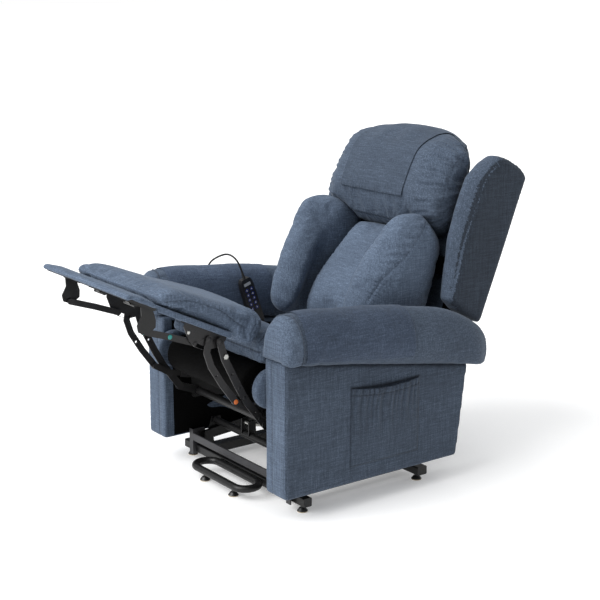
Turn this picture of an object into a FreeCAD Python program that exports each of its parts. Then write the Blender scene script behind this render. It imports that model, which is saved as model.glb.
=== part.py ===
import FreeCAD, Part
import os
from math import sin, cos, tan, radians, pi, sqrt, hypot, atan2, degrees, acos
from FreeCAD import Vector as V

os.makedirs("parts", exist_ok=True)

# ------------------------------------------------------------------
# Powered lift recliner chair, shown reclined with the leg rest raised.
# Millimetres, +Z up, the chair faces -Y, +X is the occupant's left.
# All shapes are drawn with Y = 0 on the front plane of the arms and
# are shifted by Y_SHIFT when written so the origin is the centre of
# the bounding box on the floor.
# ------------------------------------------------------------------
Y_SHIFT = -281.46

# arms
ARM_IN, ARM_OUT = 290.0, 394.0       # inner and outer face of the arm panel
ARM_BOTTOM = 83.0
LINING_T = 1.5
PAD_OUT = 445.0                      # widest point of the rolled arm pad
# steel plate layers on each side (|x| from, to)
L_HANG = (219.0, 223.0)              # link hanger, footrest link, link C
L_BRKT = (225.5, 229.5)              # leg-rest bracket, bar C
L_BARB = (232.0, 236.0)
L_BARA = (238.5, 242.5)
L_CRNK = (245.0, 249.0)              # crank, lift link
L_CHAS = (251.5, 255.5)              # chassis side plate
L_BACK = (257.5, 261.5)              # back pivot plate
L_LIFT = (259.0, 264.0)              # lift arm
# pivots (y, z)
A_PIV = (120.0, 78.0)                # lift arm on base
C_PIV = (475.0, 105.0)               # lift arm on chassis
B_PIV = (138.2, 88.9)                # lift link on base
D_PIV = (550.0, 130.0)               # lift link on chassis
Q_PIV = (585.0, 300.0)               # back on chassis
P_PIV = (-48.0, 527.0)               # leg-rest board turning centre
SA = (106.0, 245.0)                  # crank (torque tube) on chassis
SB = (41.0, 323.0)                   # bar C on hanger
K1 = (32.0, 274.0)
K2 = (-66.0, 362.0)
O1 = (-122.0, 556.0)
O2 = (-155.0, 566.0)
F_PIV = (-328.0, 668.0)              # footrest hinge
E0 = (-198.0, 560.0)                 # footrest link, rear end
L1 = (-360.0, 618.0)                 # footrest link, front end
FOLD, LINK_TURN = 45.0, -49.0        # footrest fold, its link against it
N_LIFT = (180.0, 124.0)              # lift actuator eye
M_LIFT = (545.0, 74.0)               # lift actuator tail
N_REC = (575.0, 215.0)               # recline actuator eye
M_REC = (200.0, 235.0)               # recline actuator tail
LEG_D = (cos(radians(-25.5)), sin(radians(-25.5)))     # along board, to the rear
LEG_U = (-LEG_D[1], LEG_D[0])                           # up out of the board
LEG_O = (-122.0, 576.0)                                 # point on the board underside
R0 = (787.6, 494.0)                  # back frame origin on the rear plane
BK_A = 22.2                          # back angle from vertical
BK_D = (sin(radians(BK_A)), cos(radians(BK_A)))
BK_N = (-BK_D[1], BK_D[0])

NODES = []

def put(name, shapes):
    if not isinstance(shapes, (list, tuple)):
        shapes = [shapes]
    sol = []
    for s in shapes:
        sol += s.Solids
    sh = sol[0] if len(sol) == 1 else Part.makeCompound(sol)
    sh = sh.copy()
    sh.translate(V(0, Y_SHIFT, 0))
    ok = sh.isValid()
    vol = sum(s.Volume for s in sol)
    NODES.append(name)
    print("%-24s solids %2d  vol %9.1f cm3 valid %s" % (name, len(sol), vol / 1000.0, ok))
    sh.exportStep("parts/%s.step" % name)

def box(x0, x1, y0, y1, z0, z1):
    return Part.makeBox(abs(x1 - x0), abs(y1 - y0), abs(z1 - z0), V(min(x0, x1), min(y0, y1), min(z0, z1)))

def cyl_x(p, r, x0, x1):
    return Part.makeCylinder(r, abs(x1 - x0), V(min(x0, x1), p[0], p[1]), V(1, 0, 0))

def cyl_z(x, y, r, z0, z1):
    return Part.makeCylinder(r, z1 - z0, V(x, y, z0), V(0, 0, 1))

def cyl(a, b, r):
    a, b = V(*a), V(*b)
    d = b.sub(a)
    return Part.makeCylinder(r, d.Length, a, d)

def prism(pts, x0, x1):
    x0, x1 = min(x0, x1), max(x0, x1)
    w = Part.makePolygon([V(x0, p[0], p[1]) for p in pts] + [V(x0, pts[0][0], pts[0][1])])
    return Part.Face(w).extrude(V(x1 - x0, 0, 0))

def mirror(s):
    return s.mirror(V(0, 0, 0), V(1, 0, 0))

def both(s):
    s = s if isinstance(s, list) else [s]
    return s + [mirror(q) for q in s]

def clean(s):
    try:
        t = s.removeSplitter()
        return t if t.isValid() and t.Volume > 0 else s
    except Exception:
        return s

def fuse(shapes):
    s = shapes[0]
    if len(shapes) > 1:
        s = s.fuse(shapes[1:])
    return clean(s)

def bar(pts, w, x0, x1, holes=()):
    """flat steel bar through the listed (y, z) points with round ends"""
    parts = []
    for a, b in zip(pts[:-1], pts[1:]):
        dy, dz = b[0] - a[0], b[1] - a[1]
        L = hypot(dy, dz)
        ny, nz = -dz / L * w / 2.0, dy / L * w / 2.0
        parts.append(prism([(a[0] + ny, a[1] + nz), (b[0] + ny, b[1] + nz), (b[0] - ny, b[1] - nz), (a[0] - ny, a[1] - nz)], x0, x1))
    for p in pts:
        parts.append(cyl_x(p, w / 2.0, x0, x1))
    s = fuse(parts)
    for h in holes:
        s = s.cut(cyl_x((h[0], h[1]), h[2], x0 - 1, x1 + 1))
    return s

def fillet_x(s, r, pred=None):
    """round the edges that run along X"""
    es = []
    for e in s.Edges:
        if len(e.Vertexes) == 2:
            a, b = e.Vertexes[0].Point, e.Vertexes[1].Point
            if abs(a.y - b.y) < 1e-6 and abs(a.z - b.z) < 1e-6 and abs(a.x - b.x) > 1.0:
                if pred is None or pred(a):
                    es.append(e)
    try:
        t = s.makeFillet(r, es)
        if t.isValid():
            return t
    except Exception:
        pass
    print("  fillet skipped")
    return s

def fillet_all(s, r):
    try:
        t = s.makeFillet(r, s.Edges)
        if t.isValid():
            return t
    except Exception:
        pass
    print("  fillet skipped")
    return s

def spline(pts, closed=False):
    b = Part.BSplineCurve()
    if closed:
        b.interpolate(Points=pts, PeriodicFlag=True)
    else:
        b.interpolate(pts)
    return b.toShape()

def loft(wires, ruled=False):
    s = Part.makeLoft(wires, True, ruled)
    if s.Volume < 0:
        s.reverse()
    return s

def bk(u, v):
    """point of the back's own frame: u up along the rear plane, v forward"""
    return (R0[0] + u * BK_D[0] + v * BK_N[0], R0[1] + u * BK_D[1] + v * BK_N[1])

def lg(s, h):
    """point of the leg-rest frame: s to the rear along the board, h up from its underside"""
    return (LEG_O[0] + s * LEG_D[0] + h * LEG_U[0], LEG_O[1] + s * LEG_D[1] + h * LEG_U[1])

def interp(tab, y):
    if y <= tab[0][0]:
        return tab[0][1]
    for (a, b), (c, d) in zip(tab[:-1], tab[1:]):
        if y <= c:
            return b + (d - b) * (y - a) / (c - a)
    return tab[-1][1]

def pillow(prof, x0, x1, r, steps=3, flatten=1.0):
    """soft body: closed (y, z) profile run along X, rounded over r at both ends"""
    cy = sum(p[0] for p in prof) / len(prof)
    cz = sum(p[1] for p in prof) / len(prof)
    size = min(max(p[0] for p in prof) - min(p[0] for p in prof), max(p[1] for p in prof) - min(p[1] for p in prof)) / 2.0
    xs = []
    for i in range(steps + 1):
        a = pi / 2 * i / steps
        xs.append((r * (1 - sin(a)), 1.0 - (r * flatten) / size * (1 - cos(a))))
    # xs runs from full size (depth r) to the end cap (depth 0)
    a0, a1 = x0 + r, x1 - r
    mid = [(a0 + (a1 - a0) * f, 1.0) for f in (0.08, 0.25, 0.5, 0.75, 0.92)]
    secs = [(x0 + d, k) for d, k in reversed(xs)] + mid + [(x1 - d, k) for d, k in xs]
    wires = []
    for x, k in secs:
        pts = [V(x, cy + (p[0] - cy) * k, cz + (p[1] - cz) * k) for p in prof]
        wires.append(Part.Wire([spline(pts, True)]))
    return loft(wires)

# ------------------------------------------------------------------ base
CROSS_Z = (22.0, 50.0)
side_rails = both(box(225, 262, 135, 557, CROSS_Z[0], CROSS_Z[1]))
lug_b = both(prism([(118, 50), (160, 50), (150, 101), (127, 101)], 238, 243))
pin_b = both(cyl_x(B_PIV, 8, 243, 244.6))
put("base_side_rails", [fuse([side_rails[0], lug_b[0], pin_b[0]]), fuse([side_rails[1], lug_b[1], pin_b[1]])])
front_cross = fillet_x(box(-340, 340, 105, 135, *CROSS_Z), 4)
rear_cross = fillet_x(box(-340, 340, 557, 595, *CROSS_Z), 4)
motor_lug = [prism([(557, 50), (590, 50), (560, 90), (534, 90), (534, 60)], x, x + 5) for x in (-88, -47)]
put("base_cross_tubes", [front_cross, fuse([rear_cross] + motor_lug)])
# loop tube in front, lying flat
LW, LY0, LY1, LR, LT = 148.0, 10.0, 91.0, 40.0, 12.0
zc = 38.0
def loop_path():
    k = sqrt(0.5)
    c = [(LW - LR, LY0 + LR), (LW - LR, LY1 - LR), (-LW + LR, LY1 - LR), (-LW + LR, LY0 + LR)]
    P = lambda x, y: V(x, y, zc)
    e = []
    e.append(Part.LineSegment(P(LW, LY0 + LR), P(LW, LY1 - LR)).toShape())
    e.append(Part.Arc(P(LW, LY1 - LR), P(c[1][0] + LR * k, c[1][1] + LR * k), P(LW - LR, LY1)).toShape())
    e.append(Part.LineSegment(P(LW - LR, LY1), P(-LW + LR, LY1)).toShape())
    e.append(Part.Arc(P(-LW + LR, LY1), P(c[2][0] - LR * k, c[2][1] + LR * k), P(-LW, LY1 - LR)).toShape())
    e.append(Part.LineSegment(P(-LW, LY1 - LR), P(-LW, LY0 + LR)).toShape())
    e.append(Part.Arc(P(-LW, LY0 + LR), P(c[3][0] - LR * k, c[3][1] - LR * k), P(-LW + LR, LY0)).toShape())
    e.append(Part.LineSegment(P(-LW + LR, LY0), P(LW - LR, LY0)).toShape())
    e.append(Part.Arc(P(LW - LR, LY0), P(c[0][0] + LR * k, c[0][1] - LR * k), P(LW, LY0 + LR)).toShape())
    return Part.Wire(e)
prof = Part.Wire([Part.Circle(V(LW, LY0 + LR, zc), V(0, 1, 0), LT).toShape()])
loop = loop_path().makePipeShell([prof], True, True)
tie = [box(x - 14, x + 14, 98, 105, 28, 48) for x in (-90, 90)]
put("front_loop_tube", fuse([loop] + tie))
web = prism([(92, 18), (104.5, 18), (104.5, 50.5), (140, 50.5), (140, 104), (92, 104)], 266, 272)
flange = box(272, 288, 92, 96, 18, 104)
br = both(fuse([web, flange]))
crossbar = box(-266, 266, 92, 98, 68, 92)
BRACKETS = fuse(br + [crossbar])
# glides: domed foot, stem, light metal disc under it
gl = []
GP = [(-82, 22, 26.2), (82, 22, 26.2), (-312, 120, 22), (312, 120, 22), (-312, 576, 22), (312, 576, 22)]
for x, y, zt in GP:
    foot = Part.makeCone(17, 10, 9, V(x, y, 3), V(0, 0, 1))
    disc = Part.makeCylinder(16, 3, V(x, y, 0), V(0, 0, 1))
    stem = Part.makeCylinder(5, zt - 12, V(x, y, 12), V(0, 0, 1))
    g = fuse([foot, disc, stem])
    gl.append(g.cut(loop) if zt > 22.1 else g)
put("floor_glides", gl)
# ------------------------------------------------------------------ lift linkage
arm = bar([A_PIV, C_PIV], 34, L_LIFT[0], L_LIFT[1])
lobe = prism([(145, 82), (215, 88), (197, 136), (165, 138)], *L_LIFT)
arm = fuse([arm, lobe])
tube = cyl_x(N_LIFT, 12.5, -259, 259)
put("lift_frame", fuse(both(arm) + [tube] + [prism([(165, 128), (195, 128), (193, 178), (167, 178)], x, x + 5) for x in (-88, -47)]))
put("lift_links", both(bar([B_PIV, D_PIV], 22, *L_CRNK)))
# pivot bolts of the lift linkage, each fixed to the base or to the chassis
put("base_pivot_brackets", fuse([BRACKETS] + both(cyl_x(A_PIV, 9, 264.4, 266)) + both(cyl_x(A_PIV, 10, 272, 278))))
spacers = []
for y, z in ((150, 340), (560, 330)):
    spacers += both(cyl_x((y, z), 11, 255.5, 288.5))
put("chassis_bolts", both(cyl_x(C_PIV, 9, 255.5, 258.6)) + both(cyl_x(D_PIV, 8, 249.4, 251.5)) + both(cyl_x(SA, 14, 249.4, 251.5)) + both(cyl_x(Q_PIV, 9, 255.5, 257.1)) + both(cyl_x(SB, 8, 223, 225.1)) + spacers)
# lift actuator: body swings on the rear cross tube, rod slides out of it
ml = V(0, N_LIFT[0] - M_LIFT[0], (N_LIFT[1] + 12) - M_LIFT[1])
N_TIP = (N_LIFT[0], N_LIFT[1] + 42.0)
def along(a, b, t):
    L = hypot(b[0] - a[0], b[1] - a[1])
    return (a[0] + (b[0] - a[0]) * t / L, a[1] + (b[1] - a[1]) * t / L)
XM = -65.0
def actuator(tail, tip, x, total, rod0):
    p = lambda t: (x,) + along(tail, tip, t)
    a0 = p(0)
    tail_eye = cyl_x((tail[0], tail[1]), 11, x - 10, x + 10)
    gear = cyl(p(21), p(68), 21)
    motor_can = cyl((x + 30, along(tail, tip, 30)[0], along(tail, tip, 30)[1] + 0), (x + 30, along(tail, tip, 128)[0], along(tail, tip, 128)[1]), 17)
    outer = cyl(p(60), p(total - 70), 15)
    neck = cyl(p(4), p(30), 8)
    body = fuse([tail_eye, neck, gear, outer, motor_can])
    bore = cyl(p(90), p(total - 60), 10.5)
    body = body.cut(bore)
    rod = cyl(p(rod0), p(total - 5), 10)
    tip_eye = cyl_x((tip[0], tip[1]), 9, x - 9, x + 9)
    return body, fuse([rod, tip_eye])
tot = hypot(N_TIP[0] - M_LIFT[0], N_TIP[1] - M_LIFT[1])
mb, mr = actuator(M_LIFT, N_TIP, XM, tot, 100.0)
put("lift_motor_housing", mb)
put("lift_motor_rod", mr)
# ------------------------------------------------------------------ chassis (moves with the chair)
side = prism([(84, 222), (128, 222), (300, 200), (440, 175), (452, 92), (498, 86), (565, 112), (612, 150), (618, 300), (606, 330), (560, 352), (84, 365)], *L_CHAS)
side = fillet_x(side, 10)
holes = [cyl_x((y, z), 22, 200, 300) for y, z in ((210, 282), (290, 278), (370, 270), (450, 262))]
side = side.cut(Part.makeCompound(holes))
put("chassis_side_plates", both(side))
ctubes = [box(-251.5, 251.5, 106, 131, 338, 363), box(-251.5, 251.5, 520, 545, 325, 350)]
mount_m = [box(x, x + 5, 125, 212, 224, 250).fuse(box(x, x + 5, 125, 145, 246, 338)) for x in (52, 83)]
put("chassis_cross_tubes", [fuse([ctubes[0]] + mount_m), ctubes[1]])
hang = prism([(22, 312), (58, 304), (112, 332), (112, 336), (131, 336), (131, 366), (60, 366), (28, 345)], *L_HANG)
# hanger plates are notched round the front cross tube
hang = fuse([hang]).cut(box(200, 260, 105.9, 131.1, 337.9, 363.1))
hang = hang.Solids[0] if len(hang.Solids) == 1 else max(hang.Solids, key=lambda q: q.Volume)
hang = fuse([hang, box(215, 219, 40, 100, 345, 362)])
put("link_hanger_plates", both(hang))
# zigzag seat springs between the two tubes
springs = []
for x in (-160, -80, 0, 80, 160):
    z = 365.0
    e = []
    y = 120.0
    n = 10
    step = (532.0 - 120.0) / n
    amp = 22.0
    pts = []
    r = step / 2.0
    cur = V(x - amp, y, z)
    sgn = 1
    for i in range(n):
        a = V(x - sgn * amp, y + i * step, z)
        b = V(x + sgn * amp, y + i * step, z)
        e.append(Part.LineSegment(a, b).toShape())
        e.append(Part.Arc(b, V(x + sgn * (amp + r), y + (i + 0.5) * step, z), V(x + sgn * amp, y + (i + 1) * step, z)).toShape())
        sgn = -sgn
    w = Part.Wire(e)
    c = Part.Wire([Part.Circle(V(x - amp, y, z), V(1, 0, 0), 1.9).toShape()])
    springs.append(w.makePipeShell([c], True, True))
put("seat_springs", springs)
# seat cushion
seat_prof = [(4, 420), (2, 470), (3, 528), (18, 556), (50, 567), (90, 560), (150, 522), (230, 478), (300, 448), (370, 428), (430, 418), (446, 405), (446, 385), (430, 371), (300, 369), (150, 369), (60, 400), (20, 402)]
seat_prof = [(8, 474), (8, 505), (10, 530), (20, 553), (50, 565), (90, 559), (150, 522), (230, 478), (300, 449), (370, 430), (425, 419), (444, 406), (446, 390), (432, 379), (370, 377), (300, 377), (230, 377), (190, 379), (150, 396), (115, 432), (70, 462), (25, 466)]
put("seat_cushion", pillow(seat_prof, -264, 264, 26))
# front rail: black covered roll between the linkages and short blue ends on the arms
put("front_rail", fuse([cyl_x((30, 396), 61, -215, 215), box(-215, 215, 70, 106, 345, 378)]))
put("front_rail_ends", both(cyl_x((30, 396), 61, 258.5, 288.5)))
# arms
def zb(y):
    return interp([(-40, 510), (0, 503), (714, 384), (830, 364)], y)
ZTOP = [(-26, 596), (-14, 622), (13, 642), (83, 646), (229, 634), (336, 626), (421, 615), (542, 591), (626, 569), (690, 541), (745, 508), (768, 488), (786, 468), (799, 448)]
panel_pts = [(0, 83), (675, 83), (714, 379), (714, zb(714)), (0, zb(0))]
def arm_panel():
    outer = prism(panel_pts, ARM_IN, ARM_OUT)
    outer = fillet_x(outer, 6, lambda p: p.z < 100)
    inner = prism([(14, 97), (662, 97), (699, 372), (14, zb(0) - 16)], ARM_IN + 12, ARM_OUT - 12)
    return outer.cut(inner)
pan = arm_panel()
put("left_arm_panel", pan)
put("right_arm_panel", mirror(pan))
fr = []
fx0, fx1 = ARM_IN + 12, ARM_OUT - 12
fr.append(box(fx0, fx1, 14, 44, 97, 470))
fr.append(box(fx0, fx1, 620, 650, 97, 370))
fr.append(box(fx0, fx1, 330, 360, 117, 380))
fr.append(box(fx0, fx1, 44, 620, 97, 117))
fr.append(box(fx0 + 20, fx1 - 20, 44, 330, 330, 350))
fr.append(box(fx0 + 20, fx1 - 20, 360, 620, 330, 350))
f = fuse(fr)
put("arm_timber_frames", both(f))
put("arm_linings", both(prism([(34, 92), (640, 92), (668, 380), (34, 486)], ARM_IN - LINING_T, ARM_IN)))
PAD_BOTTOM = [(714, 384.4), (745, 377), (772, 378), (792, 392), (802, 402)]
PAD_TUCK = [(0, 0), (100, 8), (243, 14), (397, 20), (558, 18), (664, 8), (720, 4), (760, 0)]    # how far the outer lower edge is drawn up
def pad_section(y, off=0.0, inset=0.0):
    zt = interp(ZTOP, y) + off
    b = zb(y) + 0.4 if y <= 714 else interp(PAD_BOTTOM, y)
    k = interp(PAD_TUCK, y)
    h = zt - b
    q = 1.0 - inset / 75.0                       # narrowing towards the rounded ends
    pts = [(291, b), (297 - off, b + .30 * h), (308 - off, b + .68 * h), (334, b + .94 * h), (362, zt), (398, b + .965 * h), (425 + off, b + .76 * h), (PAD_OUT - 3 + off, b + .46 * h), (PAD_OUT - 1 + off, b + .20 * h + 0.8 * k), (PAD_OUT - 14 + off, b - 7 + k)]
    pts = [(370 + (x - 370) * q, z) for x, z in pts]
    return [V(p[0], y, p[1]) for p in pts]
def pad_wire(y, **k):
    p = pad_section(y, **k)
    top = spline(p)
    last, first = p[-1], p[0]
    mid = V(min(ARM_OUT + 2, last.x - 12), y, first.z)
    return Part.Wire([top, Part.LineSegment(last, mid).toShape(), Part.LineSegment(mid, first).toShape()])
ys = [(-26, 22), (-20, 9), (-8, 2), (13, 0), (46, 0), (100, 0), (180, 0), (260, 0), (340, 0), (400, 0), (446, 0), (490, 0), (542, 0), (626, 0), (680, 1), (705, 4), (728, 11), (748, 22), (768, 36), (786, 51), (799, 62)]
def arm_pad():
    wires = [pad_wire(y, inset=i) for y, i in ys]
    return loft(wires)
pad = arm_pad()
put("arm_pads", both(pad))
# arm cap: thin removable cover over the front half of the pad
CAP_Y = (46, 100, 180, 260, 340, 400, 446)
cap_o = loft([pad_wire(y, off=3.6) for y in CAP_Y])
cap_i = loft([pad_wire(y, off=0.7) for y in (30,) + CAP_Y + (462,)])
cap = cap_o.cut(cap_i).cut(prism([(0, 380), (0, zb(0) + 14), (500, zb(500) + 14), (500, 380)], 280, 380))
cap = cap.cut(prism([(0, 380), (0, zb(0) + 12), (500, zb(500) + 26), (500, 380)], 379, 470))
cap = max(cap.Solids, key=lambda q: q.Volume)
put("arm_caps", both(cap))
# side pocket on the outside of the left arm
pk = prism([(236, 138), (503, 138), (506, 376), (500, 380), (240, 388), (233, 386)], ARM_OUT, ARM_OUT + 13)
pk = fillet_x(pk, 9, lambda p: p.z < 200)
cav = prism([(240, 142), (499, 142), (502, 400), (237, 400)], ARM_OUT + 1.5, ARM_OUT + 10)
put("side_pocket", pk.cut(cav))
# control box with the socket for the handset lead
put("control_box", fillet_all(box(-251.5, -209, 515, 600, 160, 215), 4))
# ------------------------------------------------------------------ handset
HX0, HX1 = -287.5, -267.0            # back and face of the handset
HA, HB = (310.8, 590.0), (370.8, 414.0)
HL = hypot(HB[0] - HA[0], HB[1] - HA[1])
hd = ((HB[0] - HA[0]) / HL, (HB[1] - HA[1]) / HL)
hn = (-hd[1], hd[0])
HW = 24.5
def hp(s, t):
    return (HA[0] + hd[0] * s + hn[0] * t, HA[1] + hd[1] * s + hn[1] * t)
case_pts = [hp(0, -15), hp(0, 15), hp(10, HW - 3), hp(30, HW), hp(HL - 30, HW), hp(HL - 5, HW - 5), hp(HL, 0), hp(HL - 5, -HW + 5), hp(HL - 30, -HW), hp(30, -HW), hp(10, -HW + 3)]
case = prism(case_pts, HX0, HX1)
case = fillet_x(case, 4)
BTN = [(40.0 + 17.5 * r, c) for r in range(5) for c in (-9.5, 9.5)]
for s, t in BTN:
    case = case.cut(cyl_x(hp(s, t), 6.3, HX1 - 4.0, HX1 + 1))
lab = prism([hp(14, -14), hp(14, 14), hp(26, 14), hp(26, -14)], HX1 - 0.8, HX1 + 1)
case = case.cut(lab)
put("handset_case", case)
for i, (s, t) in enumerate(BTN):
    put("button_%s_%s" % ("abcde"[i // 2], "rear" if i % 2 else "front"), cyl_x(hp(s, t), 5.9, HX1 - 2.8, HX1 + 1.2))
# handset lead
DIA = 6.5
hx = (HX0 + HX1) / 2.0
g0 = (hx,) + hp(0, 0)
g1 = (hx,) + hp(-22, 0)
put("handset_cable_gland", Part.makeCone(5.5, 4.2, 22, V(*g0), V(0, -hd[0], -hd[1])))
route = [g1,
         (hx,) + hp(-50, 0),
         (-292.0, 285.0, 662.0),
         (-322.0, 276.0, 672.0),
         (-372.0, 273.0, 656.0),
         (-426.0, 268.0, 626.0),
         (-458.0, 270.0, 572.0),
         (-462.0, 286.0, 490.0),
         (-455.0, 312.0, 400.0),
         (-449.0, 344.0, 318.0),
         (-447.0, 378.0, 240.0),
         (-441.0, 424.0, 162.0),
         (-428.0, 462.0, 92.0),
         (-384.0, 492.0, 66.0),
         (-322.0, 516.0, 64.0),
         (-262.0, 534.0, 67.0),
         (-232.0, 544.0, 98.0),
         (-230.3, 548.0, 138.0)]
def cord_path(pts, rep=True):
    P = [V(*p) for p in pts]
    n = len(P)
    runs = [P[i + 1].sub(P[i]).Length for i in range(n - 1)]
    edges = []
    start = P[0]
    rad = []
    for i in range(1, n - 1):
        a = P[i - 1].sub(P[i]).normalize()
        b = P[i + 1].sub(P[i]).normalize()
        ang = a.getAngle(b)
        turn = pi - ang
        t = 0.45 * min(runs[i - 1], runs[i])
        r = t / tan(turn / 2.0)
        rad.append((round(r, 1), round(degrees(turn), 1)))
        p1 = P[i].add(V(a).multiply(t))
        p2 = P[i].add(V(b).multiply(t))
        bis = V(a).add(b).normalize()
        m = P[i].add(V(bis).multiply(r / cos(turn / 2.0) - r))
        edges.append(Part.LineSegment(start, p1).toShape())
        edges.append(Part.Arc(p1, m, p2).toShape())
        start = p2
    edges.append(Part.LineSegment(start, P[-1]).toShape())
    w = Part.Wire(edges)
    if rep:
        print("  cord runs", [round(r, 1) for r in runs])
        print("  cord radii/turns", rad, "min radius %.1f" % min(r[0] for r in rad))
    return w
w = cord_path(route)
d0 = V(*route[1]).sub(V(*route[0]))
c = Part.Wire([Part.Circle(V(*route[0]), d0, DIA / 2.0).toShape()])
cable = w.makePipeShell([c], True, True)
print("  cord length %.1f mm, volume %.1f of %.1f" % (w.Length, cable.Volume, w.Length * pi * DIA * DIA / 4))
put("handset_cable", cable)
e0, e1 = V(*route[-2]), V(*route[-1])
dd = e1.sub(e0).normalize()
pe = e1.add(V(dd).multiply(22.0))
plug = Part.makeCone(5.0, 6.5, 22.0 * 1.0, e1, dd)
plug = plug.cut(box(-300, -150, 400, 700, 160.0, 300))
put("cable_plug", plug)
# ------------------------------------------------------------------ leg rest linkage
cranks = both(fuse([bar([SA, K1], 26, *L_CRNK), cyl_x(SA, 16, *L_CRNK), cyl_x(K1, 7, 249, 251), cyl_x(K1, 9, 242.9, 245)]))
put("torque_tube", fuse([cyl_x(SA, 12, -245, 245), bar([SA, (150, 262)], 22, -60, -54), bar([SA, (150, 262)], 22, -38, -32)] + cranks))
put("link_bars_a", both(bar([K1, (-29, 354), (-62, 412), (-106, 500), O1], 23, *L_BARA, holes=[(-4, 318, 4), (-82, 450, 4)])))
put("link_bars_b", both(bar([K2, (-112, 424), (-149, 484), (-163, 527), O2], 21, *L_BARB, holes=[(-132, 452, 4)])))
put("link_bars_c", both(fuse([bar([SB, (-12, 330), K2], 20, *L_BRKT), cyl_x(K2, 8.5, 229.5, 231.6)])))
# brackets under the leg-rest board
bp = prism([lg(-118, -1), lg(-118, -14), lg(-86, -46), lg(-58, -58), lg(-22, -58), lg(20, -34), lg(34, -10), lg(34, -1)], *L_BRKT)
bp = fillet_x(bp, 5)
d25 = LEG_D
def turn(p, c, deg):
    a = radians(deg)
    y, z = p[0] - c[0], p[1] - c[1]
    return (c[0] + y * cos(a) - z * sin(a), c[1] + y * sin(a) + z * cos(a))
def link_end(t):
    """rear end of the footrest link against the leg-rest board, t from open to folded"""
    l1 = turn(L1, F_PIV, FOLD * t)
    e = turn((E0[0] - L1[0], E0[1] - L1[1]), (0, 0), (FOLD + LINK_TURN) * t)
    return (l1[0] + e[0], l1[1] + e[1])
# curved slot that the link's bolt follows
slot = bar([link_end(i / 10.0) for i in range(11)], 11.0, L_BRKT[0] - 1, L_BRKT[1] + 1)
bp = bp.cut(slot)
flg = prism([lg(-118, -3), lg(34, -3), lg(34, 0), lg(-118, 0)], 205, L_BRKT[1])
bp = fuse([bp, flg, cyl_x(O1, 7, 229.5, 238.1), cyl_x(O2, 7, 229.5, 231.6)])
put("legrest_brackets", both(bp))
put("footrest_links", both(fuse([bar([L1, (-277, 590), E0], 19, *L_HANG), cyl_x(L1, 6, 223, 225.1), cyl_x(E0, 4.6, 223, 230.5)])))
fb = prism([lg(-276, 0), lg(-234, 0), lg(-214, -22), lg(-206, -42), lg(-224, -70), lg(-252, -72), lg(-264, -56), lg(-262, -26)], *L_BRKT)
fb = fillet_x(fb, 4)
flf = prism([lg(-280, -3), lg(-232, -3), lg(-232, 0), lg(-280, 0)], 205, L_BRKT[1])
FB = both(fuse([fb, flf]))
# butt hinges under the gap between the two boards, on the footrest axis
def hinge_leaf(pts, x0, x1):
    return prism([lg(*p) for p in pts], x0, x1)
LEAF_LEG = [(-222, -3.5), (-216, 0), (-196, 0), (-196, -2.5), (-214, -2.5), (-221.5, -8), (-225.5, -5.6)]
LEAF_FOOT = [(-262, 0), (-237, 0), (-229, -3.5), (-225.5, -5.6), (-229.5, -8), (-238, -2.5), (-262, -2.5)]
KNUCKLE_R, PIN_R, HX = 4.6, 2.0, (60.0, 78.0, 79.0, 101.0, 102.0, 120.0)
hl = [fuse([cyl_x(F_PIV, KNUCKLE_R, a, b), hinge_leaf(LEAF_LEG, a, b)]) for a, b in ((HX[0], HX[1]), (HX[4], HX[5]))]
put("legrest_hinge_leaves", both(fuse(hl + [cyl_x(F_PIV, PIN_R, HX[0], HX[5])])))
hf = fuse([cyl_x(F_PIV, KNUCKLE_R, HX[2], HX[3]), hinge_leaf(LEAF_FOOT, HX[2], HX[3])]).cut(cyl_x(F_PIV, PIN_R + 0.35, HX[2] - 1, HX[3] + 1))
FOOT_HINGES = both(hf)
# board and pad
SF, SR = -231.0, 36.0
put("legrest_board", prism([lg(SF, 0), lg(SR, 0), lg(SR, 18), lg(SF, 18)], -250, 250))
pad_prof = [lg(-236, 26), lg(-244, 38), lg(-239, 50), lg(-222, 61), lg(-190, 68), lg(-140, 71), lg(-80, 72), lg(-20, 74), lg(35, 78), lg(80, 81), lg(106, 77), lg(121, 64), lg(127, 44), lg(123, 22), lg(110, 5), lg(94, 0), lg(74, 3), lg(54, 12), lg(40, 21), lg(15, 24), lg(-30, 24), lg(-90, 24), lg(-150, 24), lg(-205, 23)]
put("legrest_pad", pillow(pad_prof, -256, 256, 22))
put("footrest_board", fuse([prism([lg(-330, 0), lg(-238, 0), lg(-238, 8), lg(-330, 8)], -248, 248)] + FB + FOOT_HINGES))
foot_prof = [lg(-344, 2), lg(-344, 13), lg(-338, 18), lg(-300, 22), lg(-262, 21), lg(-244, 17), lg(-238, 12), lg(-238, 8), lg(-330.5, 8), lg(-330.5, 2)]
put("footrest_pad", prism(foot_prof, -256, 256))
# ------------------------------------------------------------------ back
up = both(prism([bk(-150, 12), bk(-150, 40), bk(430, 40), bk(430, 12)], 215, 257.5))
cr = [prism([bk(u, 12), bk(u, 40), bk(u + 60, 40), bk(u + 60, 12)], -215, 215) for u in (-150, 120, 370)]
plate = prism([(568, 282), (602, 278), bk(-150, 12), bk(-60, 12), bk(-60, 40), bk(-100, 40), (600, 322), (575, 322)], *L_BACK)
plate = fillet_x(plate, 6, lambda p: p.y < 610)
mnt = both(prism([bk(40, 14), bk(340, 14), bk(340, 38), bk(40, 38)], 257.2, 276.5))
LEV = [prism([bk(-150, 14), bk(-150, 40), bk(-90, 40), bk(-90, 46), (640, 330), (N_REC[0] + 14, N_REC[1] + 22), (N_REC[0] - 10, N_REC[1] + 10), (N_REC[0] - 8, N_REC[1] - 10), (N_REC[0] + 12, N_REC[1] - 12), (650, 290)], x, x + 5) for x in (54, 81)]
put("back_frame", fuse(up + cr + both(plate) + mnt + LEV))
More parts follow.
